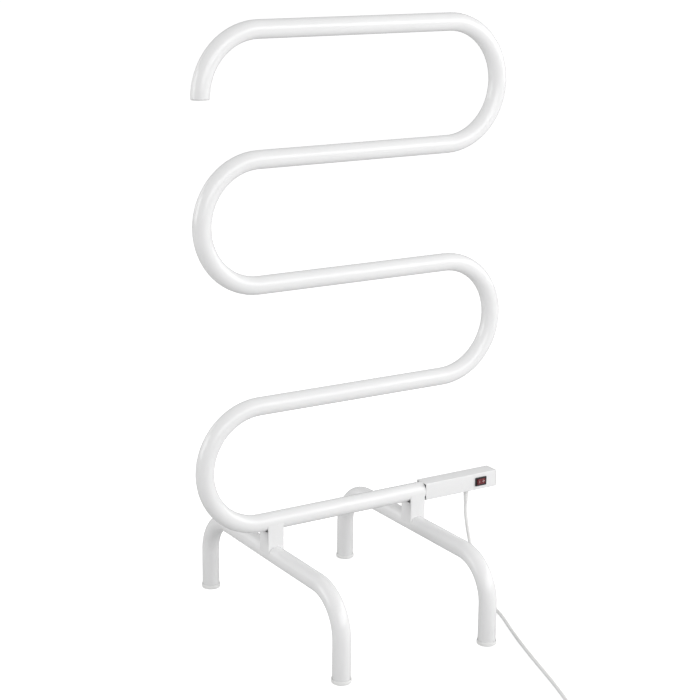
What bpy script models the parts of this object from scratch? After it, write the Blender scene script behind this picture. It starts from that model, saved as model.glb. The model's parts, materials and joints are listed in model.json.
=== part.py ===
"""Free-standing electric towel warmer rack.

One serpentine heated tube stands on two posts, and each post sits on a bent
tube leg.  A square housing at the right-hand end of the lowest bar holds the
lit rocker switch, and the mains lead leaves its underside.

Units are metres, +Z is up, the front faces -Y and +X is to the right.
The origin is on the floor, under the middle of the rack.
"""
import math

import bmesh
import bpy
from mathutils import Matrix, Vector

# ---- driving dimensions ------------------------------------------------------
GAP = 0.0003                   # clearance between pieces that touch

RAIL_DIAMETER = 0.0254
RAIL_WALL = 0.0015
BAR_PITCH = 0.1703             # centre to centre of neighbouring bars
BAR_COUNT = 5
BAR_STRAIGHT = 0.305           # straight length of a bar between its bends
LOWEST_BAR_HEIGHT = 0.1673     # floor to the lowest bar's centreline
RAIL_TAIL = 0.0006             # straight end below the top bar's quarter bend
RAIL_PLUG_FLANGE = 0.0012
RAIL_PLUG_DEPTH = 0.0025

LEG_DIAMETER = 0.0254
LEG_WALL = 0.0015
LEG_CROWN_HEIGHT = 0.1198      # floor to the leg's top centreline
LEG_BEND_RADIUS = 0.0613
LEG_SPREAD = 0.3755            # front foot to back foot
LEFT_LEG_X = -0.1331
RIGHT_LEG_X = 0.1070

FOOT_WALL = 0.0009
FOOT_HEIGHT = 0.0055
FOOT_BASE = 0.0025
FOOT_EDGE_RADIUS = 0.0012

POST_WIDTH = 0.0254            # square tube, across its flats
POST_WALL = 0.0015
POST_LIP = 0.0003              # thickness left at the tip of a coped edge
POST_SLIT_WIDTH = 0.0011       # relief slit beside a tab, at its open end
POST_SLIT_LENGTH = 0.0140

NUT_PLATE_THICKNESS = 0.004
NUT_PLATE_LIFT = 0.020         # leg centreline to the underside of the nut plate
LEG_SCREW_DIAMETER = 0.006
LEG_SCREW_HEAD_DIAMETER = 0.0105
LEG_SCREW_HEAD_HEIGHT = 0.0033
LEG_ACCESS_DIAMETER = 0.0124   # hole under the leg that the screw goes in by
SADDLE_DIAMETER = 0.0106       # saddle washer against the top of the leg's bore
SADDLE_LIFT = 0.0075           # leg centreline to the washer's flat underside
SCREW_CLEARANCE = 0.0004       # screw to its hole, on the radius

HOUSING_WIDTH = 0.0254         # square housing, across its flats
HOUSING_WALL = 0.0015
HOUSING_CORNER = 0.0012
HOUSING_LEFT_X = 0.1215
HOUSING_LENGTH = 0.1265
HOUSING_CAP_FLANGE = 0.0018
HOUSING_CAP_DEPTH = 0.010
BUSH_RECESS = 0.0016           # bush face to the housing's left end
BUSH_SQUARE_LENGTH = 0.014
BUSH_ROUND_LENGTH = 0.016
BUSH_ROUND_CLEARANCE = 0.0005
BUSH_BORE = 0.009

SWITCH_X = 0.2200
SWITCH_BEZEL = (0.0200, 0.0132)     # width along X, height along Z
SWITCH_BEZEL_THICKNESS = 0.0015
SWITCH_BODY = (0.0180, 0.0112)
SWITCH_BODY_DEPTH = 0.0120          # behind the housing's front face
SWITCH_WELL = (0.0160, 0.0092)
SWITCH_WELL_DEPTH = 0.0082          # from the bezel's face
ROCKER_CLEARANCE = 0.0003
ROCKER_RADIUS = SWITCH_WELL[0] / 2 - ROCKER_CLEARANCE
ROCKER_TILT = math.radians(8.0)     # each way from the middle
ROCKER_PIVOT_DEPTH = 0.0016         # pivot behind the bezel's face
ROCKER_CREST = 0.0020               # pivot to the valley of the rocker's face
ROCKER_BACK = 0.0030                # pivot to the rocker's flat back
PIN_DIAMETER = 0.0014
PIN_BORE_CLEARANCE = 0.0003
PIN_LENGTH = 0.0104
BLADE = (0.0008, 0.0048, 0.0048)    # thickness X, length Y, width Z
BLADE_PITCH = 0.0070

CORD_DIAMETER = 0.0052
CORD_EXIT_X = 0.2030
BOOT_LENGTH = 0.0205                # below the housing
BOOT_TOP_DIAMETER = 0.0080
BOOT_TIP_DIAMETER = 0.0064
BOOT_FLANGE_DIAMETER = 0.0110
BOOT_FLANGE_THICKNESS = 0.0020
COIL_TURNS_WIDE = 3
COIL_TURNS_HIGH = 2
COIL_MEAN_RADIUS = 0.0301
COIL_CENTRE = (0.0235, -0.4560)
COIL_LIFT = 0.0016                  # room for the tie under the coil
TIE_WIDTH = 0.008
TIE_THICKNESS = 0.0010
TIE_ANGLE = math.radians(130.0)
PLUG_LENGTH = 0.036
PLUG_WIDTH = 0.0235
PLUG_HEIGHT = 0.0200
PLUG_NECK_LENGTH = 0.018
PLUG_NECK_DIAMETER = 0.0085
PLUG_SIDE = math.radians(-120.4)    # direction from the coil to the plug
PLUG_OFFSET = 0.053                 # coil centre to the plug's centreline
PIN_BLADE = (0.0170, 0.0015, 0.0063)    # length, thickness, width
PIN_BLADE_SPACING = 0.0127
PIN_BLADE_LIFT = 0.0025             # blades above the plug's centreline
PIN_EARTH_DROP = 0.0062             # earth pin below it
PIN_EARTH_DIAMETER = 0.0048
PIN_EARTH_LENGTH = 0.0200

ELEMENT_DIAMETER = 0.0050
WIRE_DIAMETER = 0.0018
CUTOUT_SIZE = (0.0150, 0.0060, 0.0060)
SMALL_SCREW_DIAMETER = 0.003
SMALL_HEAD_DIAMETER = 0.0052
SMALL_HEAD_HEIGHT = 0.0016
EARTH_TAG_THICKNESS = 0.0008
EARTH_TAG_WIDTH = 0.0070
EARTH_TAG_TAIL = 0.0080             # screw to the end that the earth core joins

TUBE_SIDES = 16
SMALL_SIDES = 12
U_BEND_STEPS = 12
LEG_BEND_STEPS = 8

# ---- places worked out from the driving dimensions ---------------------------
RAIL_RADIUS = RAIL_DIAMETER / 2
LEG_RADIUS = LEG_DIAMETER / 2
BEND_RADIUS = BAR_PITCH / 2
BEND_X = BAR_STRAIGHT / 2
TOP_BAR_HEIGHT = LOWEST_BAR_HEIGHT + (BAR_COUNT - 1) * BAR_PITCH
HOUSING_HALF = HOUSING_WIDTH / 2
HOUSING_FLOOR = LOWEST_BAR_HEIGHT - HOUSING_HALF
HOUSING_RIGHT_X = HOUSING_LEFT_X + HOUSING_LENGTH
LOCK_SCREW_X = HOUSING_LEFT_X - BUSH_ROUND_LENGTH / 2
BUSH_SCREW_X = HOUSING_LEFT_X + BUSH_RECESS + BUSH_SQUARE_LENGTH / 2
EARTH_X = HOUSING_LEFT_X + BUSH_RECESS + BUSH_SQUARE_LENGTH + 0.020
ELEMENT_START_X = HOUSING_LEFT_X + BUSH_RECESS + BUSH_SQUARE_LENGTH + 0.004
CAP_SCREW_X = HOUSING_RIGHT_X - HOUSING_CAP_DEPTH / 2
BEZEL_FACE_Y = -HOUSING_HALF - GAP - SWITCH_BEZEL_THICKNESS
PIVOT_Y = BEZEL_FACE_Y + ROCKER_PIVOT_DEPTH
SADDLE_BOTTOM = LEG_CROWN_HEIGHT + SADDLE_LIFT
NUT_PLATE_BOTTOM = LEG_CROWN_HEIGHT + NUT_PLATE_LIFT
CORD_RADIUS = CORD_DIAMETER / 2
CORD_FLOOR = CORD_RADIUS + GAP
CORD_START = Vector((CORD_EXIT_X, 0.0, HOUSING_FLOOR - BOOT_LENGTH - GAP))

# The lead hangs from its boot, meets the floor and runs forward to its coil.
# These points, and the tail's from the coil to the plug, are chosen by hand.
CORD_POINTS = [
    (0.2030, 0.0000, CORD_START.z), (0.2030, 0.0000, 0.1220), (0.2030, -0.0030, 0.1060),
    (0.2034, -0.0085, 0.0850), (0.2036, -0.0172, 0.0630), (0.2030, -0.0300, 0.0420),
    (0.2010, -0.0460, 0.0240), (0.1972, -0.0650, 0.0110), (0.1920, -0.0850, 0.0046),
    (0.1858, -0.1035, CORD_FLOOR), (0.1788, -0.1270, CORD_FLOOR), (0.1708, -0.1485, CORD_FLOOR),
    (0.1620, -0.1705, CORD_FLOOR), (0.1510, -0.2000, CORD_FLOOR), (0.1400, -0.2310, CORD_FLOOR),
    (0.1290, -0.2640, CORD_FLOOR), (0.1175, -0.3000, CORD_FLOOR), (0.1045, -0.3400, CORD_FLOOR),
    (0.0912, -0.3775, CORD_FLOOR), (0.0775, -0.4120, CORD_FLOOR), (0.0705, -0.4310, 0.0031),
    (0.0637, -0.4491, 0.0036),
]
TAIL_POINTS = [
    (0.0629, -0.4672, 0.0086), (0.0655, -0.4771, 0.0066), (0.0686, -0.4890, 0.0042),
    (0.0688, -0.5020, 0.0031), (0.0632, -0.5136, 0.0037), (0.0529, -0.5214, 0.0060),
    (0.0430, -0.5243, 0.0088), (0.0335, -0.5233, 0.0103), (0.0280, -0.5201, 0.0103),
]


# ---- shared modelling steps --------------------------------------------------
def clear_scene():
    for old in list(bpy.data.objects):
        bpy.data.objects.remove(old, do_unlink=True)


def finish(name, colour, roughness, metallic=0.0):
    """A Principled material in the part's own colour."""
    made = bpy.data.materials.new(name)
    made.use_nodes = True
    shader = made.node_tree.nodes["Principled BSDF"]
    shader.inputs["Base Color"].default_value = (*colour, 1.0)
    shader.inputs["Roughness"].default_value = roughness
    shader.inputs["Metallic"].default_value = metallic
    return made


def add_object(name, bm, material, smooth=True):
    """Turn a bmesh into a named object with one material."""
    bmesh.ops.recalc_face_normals(bm, faces=bm.faces)
    mesh = bpy.data.meshes.new(name)
    bm.to_mesh(mesh)
    bm.free()
    mesh.materials.append(material)
    made = bpy.data.objects.new(name, mesh)
    bpy.context.collection.objects.link(made)
    if smooth:
        mesh.shade_smooth()
        mesh.set_sharp_from_angle(angle=math.radians(35.0))
    return made


def add_box(bm, low, high):
    """Add a closed box between two corners."""
    size = Vector(high) - Vector(low)
    middle = (Vector(high) + Vector(low)) / 2
    place = Matrix.Translation(middle) @ Matrix.Diagonal((*size, 1.0))
    return bmesh.ops.create_cube(bm, size=1.0, matrix=place)["verts"]


def bevel_edges_along(bm, axis, width, segments):
    """Round the edges that run along one axis (0, 1 or 2)."""
    edges = []
    for edge in bm.edges:
        run = edge.verts[1].co - edge.verts[0].co
        if abs(run[axis]) > 0.99 * run.length:
            edges.append(edge)
    bmesh.ops.bevel(bm, geom=edges, offset=width, segments=segments, profile=0.5, affect="EDGES")


def ring_at(bm, centre, side, up, radius, sides):
    """Add a ring of vertices in the plane of two directions."""
    ring = []
    for step in range(sides):
        turn = 2 * math.pi * step / sides
        ring.append(bm.verts.new(centre + radius * (math.cos(turn) * side + math.sin(turn) * up)))
    return ring


def join_rings(bm, first, second):
    count = len(first)
    for step in range(count):
        after = (step + 1) % count
        bm.faces.new((first[step], first[after], second[after], second[step]))


def sweep(bm, path, plane_normal, radius, sides, bore=0.0):
    """Sweep a round section along a flat path, as a rod or an open-ended tube."""
    outer, inner = [], []
    for index, point in enumerate(path):
        before = path[max(index - 1, 0)]
        after = path[min(index + 1, len(path) - 1)]
        along = (after - before).normalized()
        across = along.cross(plane_normal).normalized()
        outer.append(ring_at(bm, point, plane_normal, across, radius, sides))
        if bore:
            inner.append(ring_at(bm, point, plane_normal, across, bore, sides))
    for index in range(len(path) - 1):
        join_rings(bm, outer[index], outer[index + 1])
        if bore:
            join_rings(bm, inner[index + 1], inner[index])
    if bore:
        join_rings(bm, inner[0], outer[0])
        join_rings(bm, outer[-1], inner[-1])
    else:
        bm.faces.new(outer[0])
        bm.faces.new(list(reversed(outer[-1])))


def turned(bm, profile, place, sides):
    """Turn a closed (radius, height) profile about Z; radius 0 makes a pole."""
    rings = []
    for radius, height in profile:
        if radius == 0.0:
            rings.append([bm.verts.new(place @ Vector((0.0, 0.0, height)))])
        else:
            ring = ring_at(bm, Vector((0, 0, height)), Vector((1, 0, 0)), Vector((0, 1, 0)), radius, sides)
            for vertex in ring:
                vertex.co = place @ vertex.co
            rings.append(ring)
    pairs = list(zip(rings, rings[1:]))
    if profile[0][0] != 0.0:
        pairs.append((rings[-1], rings[0]))
    for first, second in pairs:
        if len(first) == 1:
            for step in range(sides):
                bm.faces.new((first[0], second[(step + 1) % sides], second[step]))
        elif len(second) == 1:
            for step in range(sides):
                bm.faces.new((first[step], first[(step + 1) % sides], second[0]))
        else:
            join_rings(bm, first, second)


def rod(bm, start, end, radius, sides):
    """Add a plain round rod between two points."""
    run = Vector(end) - Vector(start)
    place = Matrix.Translation(start) @ run.to_track_quat("Z", "Y").to_matrix().to_4x4()
    turned(bm, [(0.0, 0.0), (radius, 0.0), (radius, run.length), (0.0, run.length)], place, sides)


def cutter(name, bm):
    """A hidden shape that a Boolean takes away."""
    made = add_object(name, bm, bpy.data.materials["cutter"], smooth=False)
    made.hide_render = True
    made.display_type = "WIRE"
    return made


def cut(target, tool, operation="DIFFERENCE"):
    step = target.modifiers.new(tool.name, "BOOLEAN")
    step.operation = operation
    step.solver = "EXACT"
    step.object = tool


def screw(name, tip, head, diameter, head_diameter, head_height, material):
    """A round-headed screw from the underside of its head to its tip."""
    bm = bmesh.new()
    run = Vector(tip) - Vector(head)
    place = Matrix.Translation(head) @ run.to_track_quat("Z", "Y").to_matrix().to_4x4()
    crown = head_diameter / 2
    profile = [(0.0, -head_height), (0.62 * crown, -head_height), (0.92 * crown, -0.6 * head_height),
               (crown, -0.15 * head_height), (crown, 0.0), (diameter / 2, 0.0),
               (diameter / 2, run.length - 0.25 * diameter), (0.3 * diameter, run.length), (0.0, run.length)]
    turned(bm, profile, place, SMALL_SIDES)
    return add_object(name, bm, material)


def smooth_route(points, spacing):
    """Points at an even spacing on a smooth curve through the given ones."""
    knots = [Vector(point) for point in points]
    knots = [2 * knots[0] - knots[1]] + knots + [2 * knots[-1] - knots[-2]]
    fine = []
    steps = 24
    for index in range(1, len(knots) - 2):
        p0, p1, p2, p3 = knots[index - 1:index + 3]
        for step in range(steps):
            t = step / steps
            fine.append(0.5 * (2 * p1 + (p2 - p0) * t + (2 * p0 - 5 * p1 + 4 * p2 - p3) * t ** 2
                               + (3 * p1 - p0 - 3 * p2 + p3) * t ** 3))
    fine.append(knots[-2])
    total = sum((b - a).length for a, b in zip(fine, fine[1:]))
    count = max(2, round(total / spacing))
    even, travelled, wanted = [fine[0]], 0.0, 1
    for a, b in zip(fine, fine[1:]):
        run = (b - a).length
        while wanted < count and travelled + run >= wanted * total / count:
            even.append(a.lerp(b, (wanted * total / count - travelled) / run))
            wanted += 1
        travelled += run
    even.append(fine[-1])
    return even


def cable(name, points, diameter, material, resolution=2):
    """A round cable along points, as a bevelled curve with filled caps."""
    curve = bpy.data.curves.new(name, "CURVE")
    curve.dimensions = "3D"
    curve.bevel_depth = diameter / 2
    curve.bevel_resolution = resolution
    curve.use_fill_caps = True
    spline = curve.splines.new("POLY")
    spline.points.add(len(points) - 1)
    for slot, point in zip(spline.points, points):
        slot.co = (*point, 1.0)
    curve.materials.append(material)
    made = bpy.data.objects.new(name, curve)
    bpy.context.collection.objects.link(made)
    return made


# ---- heated rail -------------------------------------------------------------
def rail_path():
    """Centreline from the housing, along the five bars, to the cut top end."""
    path = [Vector((HOUSING_LEFT_X - GAP, 0.0, LOWEST_BAR_HEIGHT))]
    for bend in range(BAR_COUNT - 1):
        side = -1.0 if bend % 2 == 0 else 1.0
        middle = LOWEST_BAR_HEIGHT + (bend + 0.5) * BAR_PITCH
        for step in range(U_BEND_STEPS + 1):
            turn = math.pi * step / U_BEND_STEPS
            path.append(Vector((side * (BEND_X + BEND_RADIUS * math.sin(turn)), 0.0,
                                middle - BEND_RADIUS * math.cos(turn))))
    quarter = U_BEND_STEPS // 2
    for step in range(quarter + 1):
        turn = 0.5 * math.pi * step / quarter
        path.append(Vector((-BEND_X - BEND_RADIUS * math.sin(turn), 0.0,
                            TOP_BAR_HEIGHT - BEND_RADIUS * (1.0 - math.cos(turn)))))
    path.append(path[-1] - Vector((0.0, 0.0, RAIL_TAIL)))
    return path


def heating_rail(material):
    bm = bmesh.new()
    sweep(bm, rail_path(), Vector((0, 1, 0)), RAIL_RADIUS, TUBE_SIDES, RAIL_RADIUS - RAIL_WALL)
    rail = add_object("heating_rail", bm, material)
    bm = bmesh.new()
    rod(bm, (LOCK_SCREW_X, 0, LOWEST_BAR_HEIGHT - RAIL_DIAMETER), (LOCK_SCREW_X, 0, LOWEST_BAR_HEIGHT),
        SMALL_SCREW_DIAMETER / 2 + SCREW_CLEARANCE, SMALL_SIDES)
    cut(rail, cutter("cut_rail_lock", bm))


def rail_end_plug(material):
    """Moulded plug pressed into the open top end of the rail."""
    bm = bmesh.new()
    end = rail_path()[-1]
    bore = RAIL_RADIUS - RAIL_WALL - GAP
    flange = RAIL_RADIUS - 0.0004
    low = -GAP - RAIL_PLUG_FLANGE
    place = Matrix.Translation(end)
    profile = [(0.0, low), (flange - 0.0005, low), (flange, low + 0.0005), (flange, -GAP), (bore, -GAP),
               (bore, RAIL_PLUG_DEPTH), (bore - 0.0012, RAIL_PLUG_DEPTH + 0.0008),
               (bore - 0.0025, RAIL_PLUG_DEPTH), (bore - 0.0025, 0.0), (0.0, 0.0)]
    turned(bm, profile, place, TUBE_SIDES)
    add_object("rail_end_plug", bm, material)


def heating_element(material):
    """Silicone heating cable that lies in the rail's bore, out through the bush."""
    path = rail_path()
    tail_end = path[-1] + Vector((0.0, 0.0, RAIL_TAIL + RAIL_PLUG_DEPTH + 0.004))
    path = [Vector((ELEMENT_START_X, 0, LOWEST_BAR_HEIGHT))] + path[1:-2] + [tail_end]
    bm = bmesh.new()
    sweep(bm, path, Vector((0, 1, 0)), ELEMENT_DIAMETER / 2, 6)
    add_object("heating_element", bm, material)


# ---- legs and feet -----------------------------------------------------------
def leg_path(x):
    foot = FOOT_BASE + GAP
    half = LEG_SPREAD / 2
    bend = half - LEG_BEND_RADIUS
    path = [Vector((x, -half, foot))]
    for side in (-1.0, 1.0):
        for step in range(LEG_BEND_STEPS + 1):
            turn = 0.5 * math.pi * step / LEG_BEND_STEPS
            if side > 0:
                turn = 0.5 * math.pi - turn
            path.append(Vector((x, side * (bend + LEG_BEND_RADIUS * math.cos(turn)),
                                LEG_CROWN_HEIGHT - LEG_BEND_RADIUS * (1.0 - math.sin(turn)))))
    path.append(Vector((x, half, foot)))
    return path


def leg(name, x, material):
    """Bent tube leg with its screw's hole above and an access hole below."""
    bm = bmesh.new()
    sweep(bm, leg_path(x), Vector((1, 0, 0)), LEG_RADIUS, TUBE_SIDES, LEG_RADIUS - LEG_WALL)
    made = add_object(name, bm, material)
    for label, end, diameter in (("screw", LEG_DIAMETER, LEG_SCREW_DIAMETER + 2 * SCREW_CLEARANCE),
                                 ("access", -LEG_DIAMETER, LEG_ACCESS_DIAMETER)):
        bm = bmesh.new()
        rod(bm, (x, 0, LEG_CROWN_HEIGHT), (x, 0, LEG_CROWN_HEIGHT + end), diameter / 2, SMALL_SIDES)
        cut(made, cutter("cut_%s_%s" % (label, name), bm))


def foot_cap(name, x, y, material):
    """Moulded cap that cups the end of a leg and rests flat on the floor."""
    bm = bmesh.new()
    inner = LEG_RADIUS + GAP
    outer = inner + FOOT_WALL
    edge = FOOT_EDGE_RADIUS
    slant = edge * (1.0 - math.sqrt(0.5))
    profile = [(0.0, 0.0), (outer - edge, 0.0), (outer - slant, slant), (outer, edge),
               (outer, FOOT_HEIGHT), (inner, FOOT_HEIGHT), (inner, FOOT_BASE), (0.0, FOOT_BASE)]
    turned(bm, profile, Matrix.Translation((x, y, 0.0)), TUBE_SIDES)
    add_object(name, bm, material)


def saddle_washer(name, x, material):
    """Round washer in the leg's bore, with a top that follows the bore."""
    bm = bmesh.new()
    rod(bm, (x, 0, SADDLE_BOTTOM), (x, 0, LEG_CROWN_HEIGHT + LEG_RADIUS), SADDLE_DIAMETER / 2, TUBE_SIDES)
    made = add_object(name, bm, material)
    bm = bmesh.new()
    rod(bm, (x, -SADDLE_DIAMETER, LEG_CROWN_HEIGHT), (x, SADDLE_DIAMETER, LEG_CROWN_HEIGHT),
        LEG_RADIUS - LEG_WALL - GAP, 2 * TUBE_SIDES)
    cut(made, cutter("cut_saddle_" + name, bm), "INTERSECT")
    bm = bmesh.new()
    rod(bm, (x, 0, SADDLE_BOTTOM - SADDLE_DIAMETER), (x, 0, SADDLE_BOTTOM + SADDLE_DIAMETER),
        LEG_SCREW_DIAMETER / 2 + SCREW_CLEARANCE, SMALL_SIDES)
    cut(made, cutter("cut_hole_" + name, bm))


# ---- posts -------------------------------------------------------------------
def coped_height(reach):
    """Height from a tube's centre where its cope leaves the lip on the post."""
    return math.sqrt(reach ** 2 - (POST_WIDTH / 2 - POST_LIP) ** 2)


def post(name, x, material):
    """Square tube post, coped over the leg below and round the rail above."""
    half = POST_WIDTH / 2
    hollow = half - POST_WALL
    low = LEG_CROWN_HEIGHT + coped_height(LEG_RADIUS + GAP)
    high = LOWEST_BAR_HEIGHT - coped_height(RAIL_RADIUS + GAP)
    shoulder = LOWEST_BAR_HEIGHT - RAIL_RADIUS - GAP
    bm = bmesh.new()
    add_box(bm, (x - half, -half, low), (x + half, half, high))
    made = add_object(name, bm, material)
    bm = bmesh.new()
    add_box(bm, (x - hollow, -hollow, low - half), (x + hollow, hollow, high + half))
    cut(made, cutter("cut_hollow_" + name, bm))
    bm = bmesh.new()
    rod(bm, (x, -POST_WIDTH, LEG_CROWN_HEIGHT), (x, POST_WIDTH, LEG_CROWN_HEIGHT),
        LEG_RADIUS + GAP, 2 * TUBE_SIDES)
    cut(made, cutter("cut_leg_" + name, bm))
    bm = bmesh.new()
    rod(bm, (x - POST_WIDTH, 0, LOWEST_BAR_HEIGHT), (x + POST_WIDTH, 0, LOWEST_BAR_HEIGHT),
        RAIL_RADIUS + GAP, 2 * TUBE_SIDES)
    cut(made, cutter("cut_rail_" + name, bm))
    bm = bmesh.new()
    add_box(bm, (x - POST_WIDTH, -hollow, shoulder), (x + POST_WIDTH, hollow, high + half))
    cut(made, cutter("cut_shoulder_" + name, bm))
    for side in (-1.0, 1.0):
        bm = bmesh.new()
        corners = []
        for end in (-POST_WIDTH, POST_WIDTH):
            corners.append([bm.verts.new((x + end, side * hollow, shoulder - POST_SLIT_LENGTH)),
                            bm.verts.new((x + end, side * hollow, shoulder + half)),
                            bm.verts.new((x + end, side * (hollow - POST_SLIT_WIDTH * 2), shoulder + half)),
                            bm.verts.new((x + end, side * (hollow - POST_SLIT_WIDTH), shoulder))])
        join_rings(bm, corners[0], corners[1])
        bm.faces.new(corners[0])
        bm.faces.new(list(reversed(corners[1])))
        label = "front" if side < 0 else "back"
        cut(made, cutter("cut_slit_%s_%s" % (label, name), bm))


def nut_plate(name, x, material):
    """Tapped plate welded across the inside of the post."""
    bm = bmesh.new()
    half = POST_WIDTH / 2 - POST_WALL - GAP
    add_box(bm, (x - half, -half, NUT_PLATE_BOTTOM), (x + half, half, NUT_PLATE_BOTTOM + NUT_PLATE_THICKNESS))
    bevel_edges_along(bm, 2, 0.001, 1)
    made = add_object(name, bm, material)
    bm = bmesh.new()
    rod(bm, (x, 0, NUT_PLATE_BOTTOM - half), (x, 0, NUT_PLATE_BOTTOM + half),
        LEG_SCREW_DIAMETER / 2 + GAP, SMALL_SIDES)
    cut(made, cutter("cut_" + name, bm))


# ---- control housing ---------------------------------------------------------
def control_housing(material):
    """Square tube shell with cut-outs for the switch, the lead and the screws."""
    outer, inner = HOUSING_HALF, HOUSING_HALF - HOUSING_WALL
    middle = LOWEST_BAR_HEIGHT
    bm = bmesh.new()
    add_box(bm, (HOUSING_LEFT_X, -outer, middle - outer), (HOUSING_RIGHT_X, outer, middle + outer))
    bevel_edges_along(bm, 0, HOUSING_CORNER, 3)
    made = add_object("control_housing", bm, material)
    bm = bmesh.new()
    add_box(bm, (HOUSING_LEFT_X - outer, -inner, middle - inner),
            (HOUSING_RIGHT_X + outer, inner, middle + inner))
    cut(made, cutter("cut_housing_hollow", bm))
    bm = bmesh.new()
    wide, high = SWITCH_BODY[0] / 2 + GAP, SWITCH_BODY[1] / 2 + GAP
    add_box(bm, (SWITCH_X - wide, -HOUSING_WIDTH, middle - high), (SWITCH_X + wide, 0.0, middle + high))
    cut(made, cutter("cut_housing_switch", bm))
    bm = bmesh.new()
    rod(bm, (CORD_EXIT_X, 0, middle - HOUSING_WIDTH), (CORD_EXIT_X, 0, middle),
        BOOT_TOP_DIAMETER / 2 + GAP, SMALL_SIDES)
    cut(made, cutter("cut_housing_lead", bm))
    radius = SMALL_SCREW_DIAMETER / 2 + SCREW_CLEARANCE
    for label, x in (("bush", BUSH_SCREW_X), ("cap", CAP_SCREW_X)):
        bm = bmesh.new()
        rod(bm, (x, 0, middle - HOUSING_WIDTH), (x, 0, middle), radius, SMALL_SIDES)
        cut(made, cutter("cut_housing_%s_screw" % label, bm))
    bm = bmesh.new()
    rod(bm, (EARTH_X, HOUSING_WIDTH, middle), (EARTH_X, 0.0, middle), radius, SMALL_SIDES)
    cut(made, cutter("cut_housing_earth_screw", bm))


def housing_end_cap(material):
    """Moulded cap with a rim that closes the right-hand end of the housing."""
    outer, inner = HOUSING_HALF, HOUSING_HALF - HOUSING_WALL - GAP
    middle = LOWEST_BAR_HEIGHT
    inside = HOUSING_RIGHT_X - HOUSING_CAP_DEPTH
    flange = HOUSING_RIGHT_X + GAP
    bm = bmesh.new()
    add_box(bm, (flange, -outer, middle - outer), (flange + HOUSING_CAP_FLANGE, outer, middle + outer))
    bevel_edges_along(bm, 0, HOUSING_CORNER, 3)
    made = add_object("housing_end_cap", bm, material)
    bm = bmesh.new()
    add_box(bm, (inside, -inner, middle - inner), (flange + HOUSING_CAP_FLANGE / 2, inner, middle + inner))
    rim = cutter("add_cap_rim", bm)
    step = made.modifiers.new("rim", "BOOLEAN")
    step.operation = "UNION"
    step.solver = "EXACT"
    step.object = rim
    bm = bmesh.new()
    hollow = inner - 0.0030
    add_box(bm, (inside - outer, -hollow, middle - hollow), (flange, hollow, middle + hollow))
    cut(made, cutter("cut_cap_hollow", bm))
    bm = bmesh.new()
    rod(bm, (CAP_SCREW_X, 0, middle - HOUSING_WIDTH), (CAP_SCREW_X, 0, middle - hollow / 2),
        SMALL_SCREW_DIAMETER / 2 + GAP, SMALL_SIDES)
    cut(made, cutter("cut_cap_screw", bm))


def rail_bush(material):
    """Insulating bush: round in the rail, square in the housing, bored for wires."""
    middle = LOWEST_BAR_HEIGHT
    half = HOUSING_HALF - HOUSING_WALL - GAP
    round_radius = RAIL_RADIUS - RAIL_WALL - BUSH_ROUND_CLEARANCE
    face = HOUSING_LEFT_X + BUSH_RECESS
    bm = bmesh.new()
    add_box(bm, (face, -half, middle - half), (face + BUSH_SQUARE_LENGTH, half, middle + half))
    made = add_object("rail_bush", bm, material)
    bm = bmesh.new()
    rod(bm, (HOUSING_LEFT_X - BUSH_ROUND_LENGTH, 0, middle), (face + BUSH_SQUARE_LENGTH / 4, 0, middle),
        round_radius, TUBE_SIDES)
    spigot = cutter("add_bush_spigot", bm)
    step = made.modifiers.new("spigot", "BOOLEAN")
    step.operation = "UNION"
    step.solver = "EXACT"
    step.object = spigot
    bm = bmesh.new()
    rod(bm, (HOUSING_LEFT_X - 2 * BUSH_ROUND_LENGTH, 0, middle), (face + 2 * BUSH_SQUARE_LENGTH, 0, middle),
        BUSH_BORE / 2, SMALL_SIDES)
    cut(made, cutter("cut_bush_bore", bm))
    for label, x in (("lock", LOCK_SCREW_X), ("house", BUSH_SCREW_X)):
        bm = bmesh.new()
        rod(bm, (x, 0, middle - HOUSING_WIDTH), (x, 0, middle - BUSH_BORE / 4),
            SMALL_SCREW_DIAMETER / 2 + GAP, SMALL_SIDES)
        cut(made, cutter("cut_bush_%s" % label, bm))


def housing_screws(material):
    """Three screws up through the rail and housing, and one earth screw."""
    middle = LOWEST_BAR_HEIGHT
    tip = middle - BUSH_BORE / 2 - 0.0008
    under_rail = middle - RAIL_RADIUS - GAP
    under_housing = HOUSING_FLOOR - GAP
    cap_tip = middle - (HOUSING_HALF - HOUSING_WALL - GAP - 0.0030) + 0.0004
    for name, x, seat, top in (("rail_lock_screw", LOCK_SCREW_X, under_rail, tip),
                               ("bush_screw", BUSH_SCREW_X, under_housing, tip),
                               ("end_cap_screw", CAP_SCREW_X, under_housing, cap_tip)):
        screw(name, (x, 0, top), (x, 0, seat), SMALL_SCREW_DIAMETER, SMALL_HEAD_DIAMETER,
              SMALL_HEAD_HEIGHT, material)
    screw("earth_screw", (EARTH_X, HOUSING_HALF - 0.0065, middle), (EARTH_X, HOUSING_HALF + GAP, middle),
          SMALL_SCREW_DIAMETER, SMALL_HEAD_DIAMETER, SMALL_HEAD_HEIGHT, material)


def earth_tag(material):
    """Ring tag that the earth wire is crimped to, under the earth screw."""
    middle = LOWEST_BAR_HEIGHT
    back = HOUSING_HALF - HOUSING_WALL - GAP
    bm = bmesh.new()
    half = EARTH_TAG_WIDTH / 2
    add_box(bm, (EARTH_X - half, back - EARTH_TAG_THICKNESS, middle - half),
            (EARTH_X + EARTH_TAG_TAIL, back, middle + half))
    made = add_object("earth_tag", bm, material)
    bm = bmesh.new()
    rod(bm, (EARTH_X, 0.0, middle), (EARTH_X, HOUSING_WIDTH, middle),
        SMALL_SCREW_DIAMETER / 2 + GAP, SMALL_SIDES)
    cut(made, cutter("cut_earth_tag", bm))


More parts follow.
